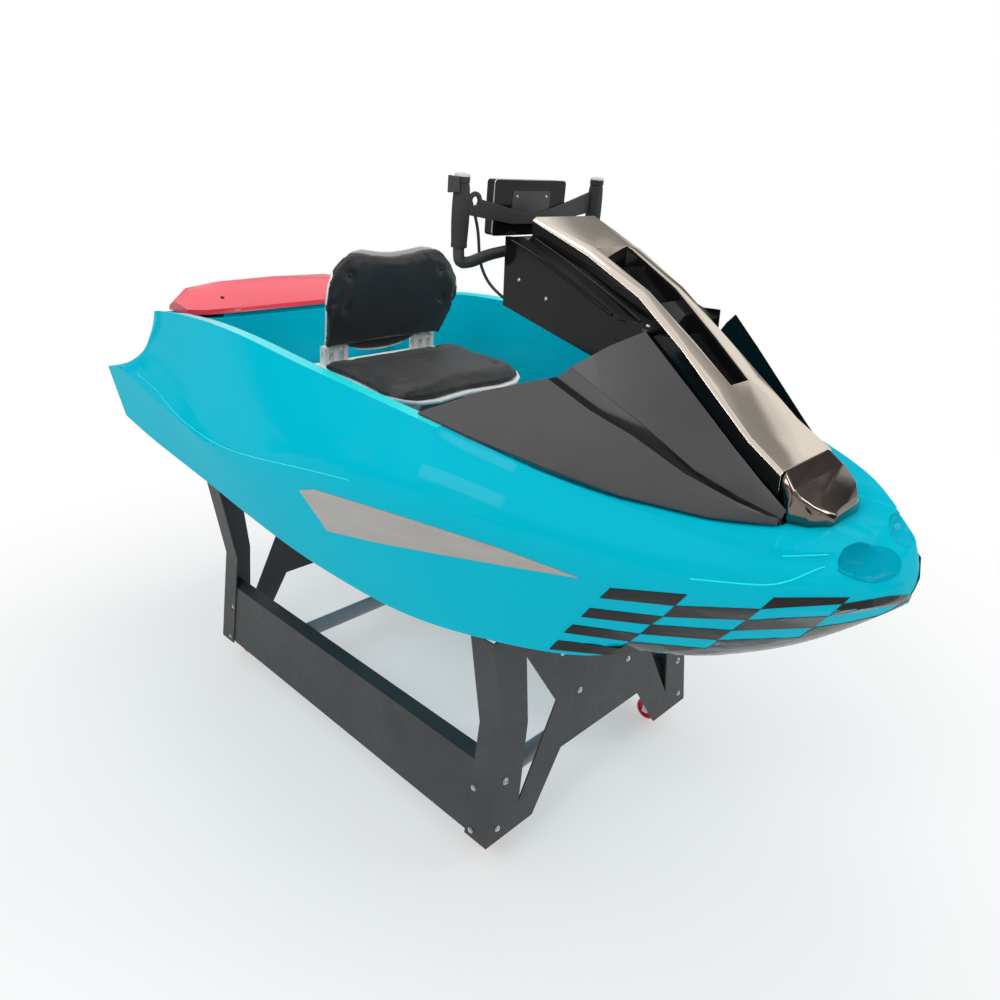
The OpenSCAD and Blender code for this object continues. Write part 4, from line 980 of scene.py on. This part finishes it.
def slab(name, outline, n, thick, mat, body):
    """A flat plate with a small chamfer, from its outline and the way it faces."""
    bm = bmesh.new()
    mid = sum(outline, Vector()) / len(outline)
    low = [bm.verts.new(p - n * SLAB_SUNK) for p in outline]
    edge = [bm.verts.new(p + n * thick * SLAB_EDGE) for p in outline]
    top = [bm.verts.new(p + (mid - p).normalized() * thick * SLAB_EDGE + n * thick) for p in outline]
    bridge(bm, (low, edge, top))
    bm.faces.new(top)
    bm.faces.new(low[::-1])
    bmesh.ops.recalc_face_normals(bm, faces=bm.faces)
    return new_piece(name, bm, mat, body, smooth=False)


BOW_WAYS = (column(1, 0, 0) - column(0, 0, 0)).normalized()
rim = rounded(*RIM_OUTLINE, DISPLAY_BACK - RIM_IN)
tube("display_rim", rim + rim[:2], RIM_R, FINISH["steel"], "steering", sides=8)
slab("display_back_plate", rounded(*PLATE_OUTLINE, DISPLAY_BACK), BOW_WAYS, PLATE_T, SCREEN,
     "steering")
slab("display_screen", rounded(*SCREEN_OUTLINE, DISPLAY_BACK - DISPLAY_T), -BOW_WAYS, SCREEN_T,
     SCREEN, "steering")
for i, y in enumerate(DISPLAY_SCREWS_Y):
    button(f"display_screw_{i}", column(DISPLAY_BACK + SCREW_OUT, y, DISPLAY_SCREWS_Z), BOW_WAYS,
           DISPLAY_SCREW_R, FINISH["steel"], "steering", height=DISPLAY_SCREW_HIGH)

# Drain in the hatch, at its place in the picture: a near black disc that paints the shade inside its
# hole
DRAIN_SEEN, DRAIN_R, DRAIN_HIGH, DRAIN_SUNK = (222.4, 297.6), 0.007, 0.0012, 0.0004
found = see_on(node_tree("stern_hatch"), *DRAIN_SEEN)
if found:
    button("hatch_drain", found[0] - found[1] * DRAIN_SUNK, found[1], DRAIN_R, HOLE_PAINTED_SHADE, "hatch",
           height=DRAIN_HIGH)


# Set and light

WHITE, PALE = (1, 1, 1, 1), (0.9, 0.9, 0.9, 1)

# The floor is plain near the boat and glows white far from it
FLOOR_NEAR, FLOOR_FAR, FLOOR_GLOW, FLOOR_SIZE, FLOOR_CELLS = 1.1, 2.7, 0.4, 14, 8
floor_mat = bpy.data.materials.new("floor")
floor_mat.use_nodes = True
ft = floor_mat.node_tree
plain = ft.nodes["Principled BSDF"]
plain.inputs["Base Color"].default_value = PALE
plain.inputs["Roughness"].default_value = 0.9
plain.inputs["Specular IOR Level"].default_value = 0.1
glow = ft.nodes.new("ShaderNodeEmission")
glow.inputs["Color"].default_value = WHITE
glow.inputs["Strength"].default_value = 1.0
where = ft.nodes.new("ShaderNodeTexCoord")
length = ft.nodes.new("ShaderNodeVectorMath")
length.operation = "LENGTH"
ft.links.new(where.outputs["Object"], length.inputs[0])
fade = ft.nodes.new("ShaderNodeMapRange")
fade.interpolation_type = "SMOOTHSTEP"
fade.inputs["From Min"].default_value = FLOOR_NEAR
fade.inputs["From Max"].default_value = FLOOR_FAR
fade.inputs["To Min"].default_value = FLOOR_GLOW
ft.links.new(length.outputs["Value"], fade.inputs["Value"])
both = ft.nodes.new("ShaderNodeMixShader")
ft.links.new(fade.outputs["Result"], both.inputs["Fac"])
ft.links.new(plain.outputs["BSDF"], both.inputs[1])
ft.links.new(glow.outputs["Emission"], both.inputs[2])
ft.links.new(both.outputs["Shader"], ft.nodes["Material Output"].inputs["Surface"])
bm = bmesh.new()
bmesh.ops.create_grid(bm, x_segments=FLOOR_CELLS, y_segments=FLOOR_CELLS, size=FLOOR_SIZE)
mesh = bpy.data.meshes.new("studio_floor")
bm.to_mesh(mesh)
bm.free()
mesh.materials.append(floor_mat)
floor = bpy.data.objects.new("studio_floor", mesh)
scene.collection.objects.link(floor)

# The world looks white and lights evenly, and reflections show a patchy yard under a pale sky
world = bpy.data.worlds.new("studio")
scene.world = world
world.use_nodes = True
wt = world.node_tree
ambient = wt.nodes["Background"]
ambient.inputs["Color"].default_value = WHITE
ambient.inputs["Strength"].default_value = 0.74
shown = wt.nodes.new("ShaderNodeBackground")
shown.inputs["Color"].default_value = WHITE
shown.inputs["Strength"].default_value = 1.0
path = wt.nodes.new("ShaderNodeLightPath")
pick = wt.nodes.new("ShaderNodeMixShader")
mirrored = wt.nodes.new("ShaderNodeBackground")
mirrored.inputs["Strength"].default_value = 1.0
heading = wt.nodes.new("ShaderNodeTexCoord")
patches = wt.nodes.new("ShaderNodeTexNoise")
patches.inputs["Scale"].default_value = 3.4
patches.inputs["Detail"].default_value = 3
wt.links.new(heading.outputs["Generated"], patches.inputs["Vector"])
yard = wt.nodes.new("ShaderNodeValToRGB")
yard.color_ramp.elements[0].position = 0.44
yard.color_ramp.elements[0].color = (0.08, 0.07, 0.065, 1)
yard.color_ramp.elements[1].position = 0.56
yard.color_ramp.elements[1].color = (0.92, 0.9, 0.87, 1)
wt.links.new(patches.outputs["Fac"], yard.inputs["Fac"])
parts = wt.nodes.new("ShaderNodeSeparateXYZ")
wt.links.new(heading.outputs["Generated"], parts.inputs["Vector"])
height = wt.nodes.new("ShaderNodeMapRange")
height.interpolation_type = "SMOOTHSTEP"
height.inputs["From Min"].default_value = 0.2
height.inputs["From Max"].default_value = 1.1
wt.links.new(parts.outputs["Z"], height.inputs["Value"])
sky = wt.nodes.new("ShaderNodeMix")
sky.data_type = "RGBA"
sky.inputs["B"].default_value = PALE
wt.links.new(height.outputs["Result"], sky.inputs["Factor"])
wt.links.new(yard.outputs["Color"], sky.inputs["A"])
wt.links.new(sky.outputs["Result"], mirrored.inputs["Color"])
lit = wt.nodes.new("ShaderNodeMixShader")
wt.links.new(path.outputs["Is Glossy Ray"], lit.inputs["Fac"])
wt.links.new(ambient.outputs["Background"], lit.inputs[1])
wt.links.new(mirrored.outputs["Background"], lit.inputs[2])
wt.links.new(path.outputs["Is Camera Ray"], pick.inputs["Fac"])
wt.links.new(lit.outputs["Shader"], pick.inputs[1])
wt.links.new(shown.outputs["Background"], pick.inputs[2])
wt.links.new(pick.outputs["Shader"], wt.nodes["World Output"].inputs["Surface"])


# Lamps: name, place, aim, size, power
LAMPS = (("key", (0.6, -3.2, 3.6), (0.1, 0, 0.8), (2.2, 1.2), 42),
         ("rim", (2.9, 1.8, 2.9), (0.4, 0, 0.9), (0.6, 2.2), 26),
         ("top", (-0.4, 0.2, 4.2), (-0.1, 0, 0.9), (2.4, 0.7), 22))
for name, at, to, size, energy in LAMPS:
    data = bpy.data.lights.new(name, "AREA")
    data.shape = "RECTANGLE"
    data.size, data.size_y = size
    data.energy = energy
    o = bpy.data.objects.new(name, data)
    aimed = (Vector(to) - Vector(at)).to_track_quat("-Z", "Y").to_matrix().to_4x4()
    o.matrix_world = Matrix.Translation(at) @ aimed
    scene.collection.objects.link(o)
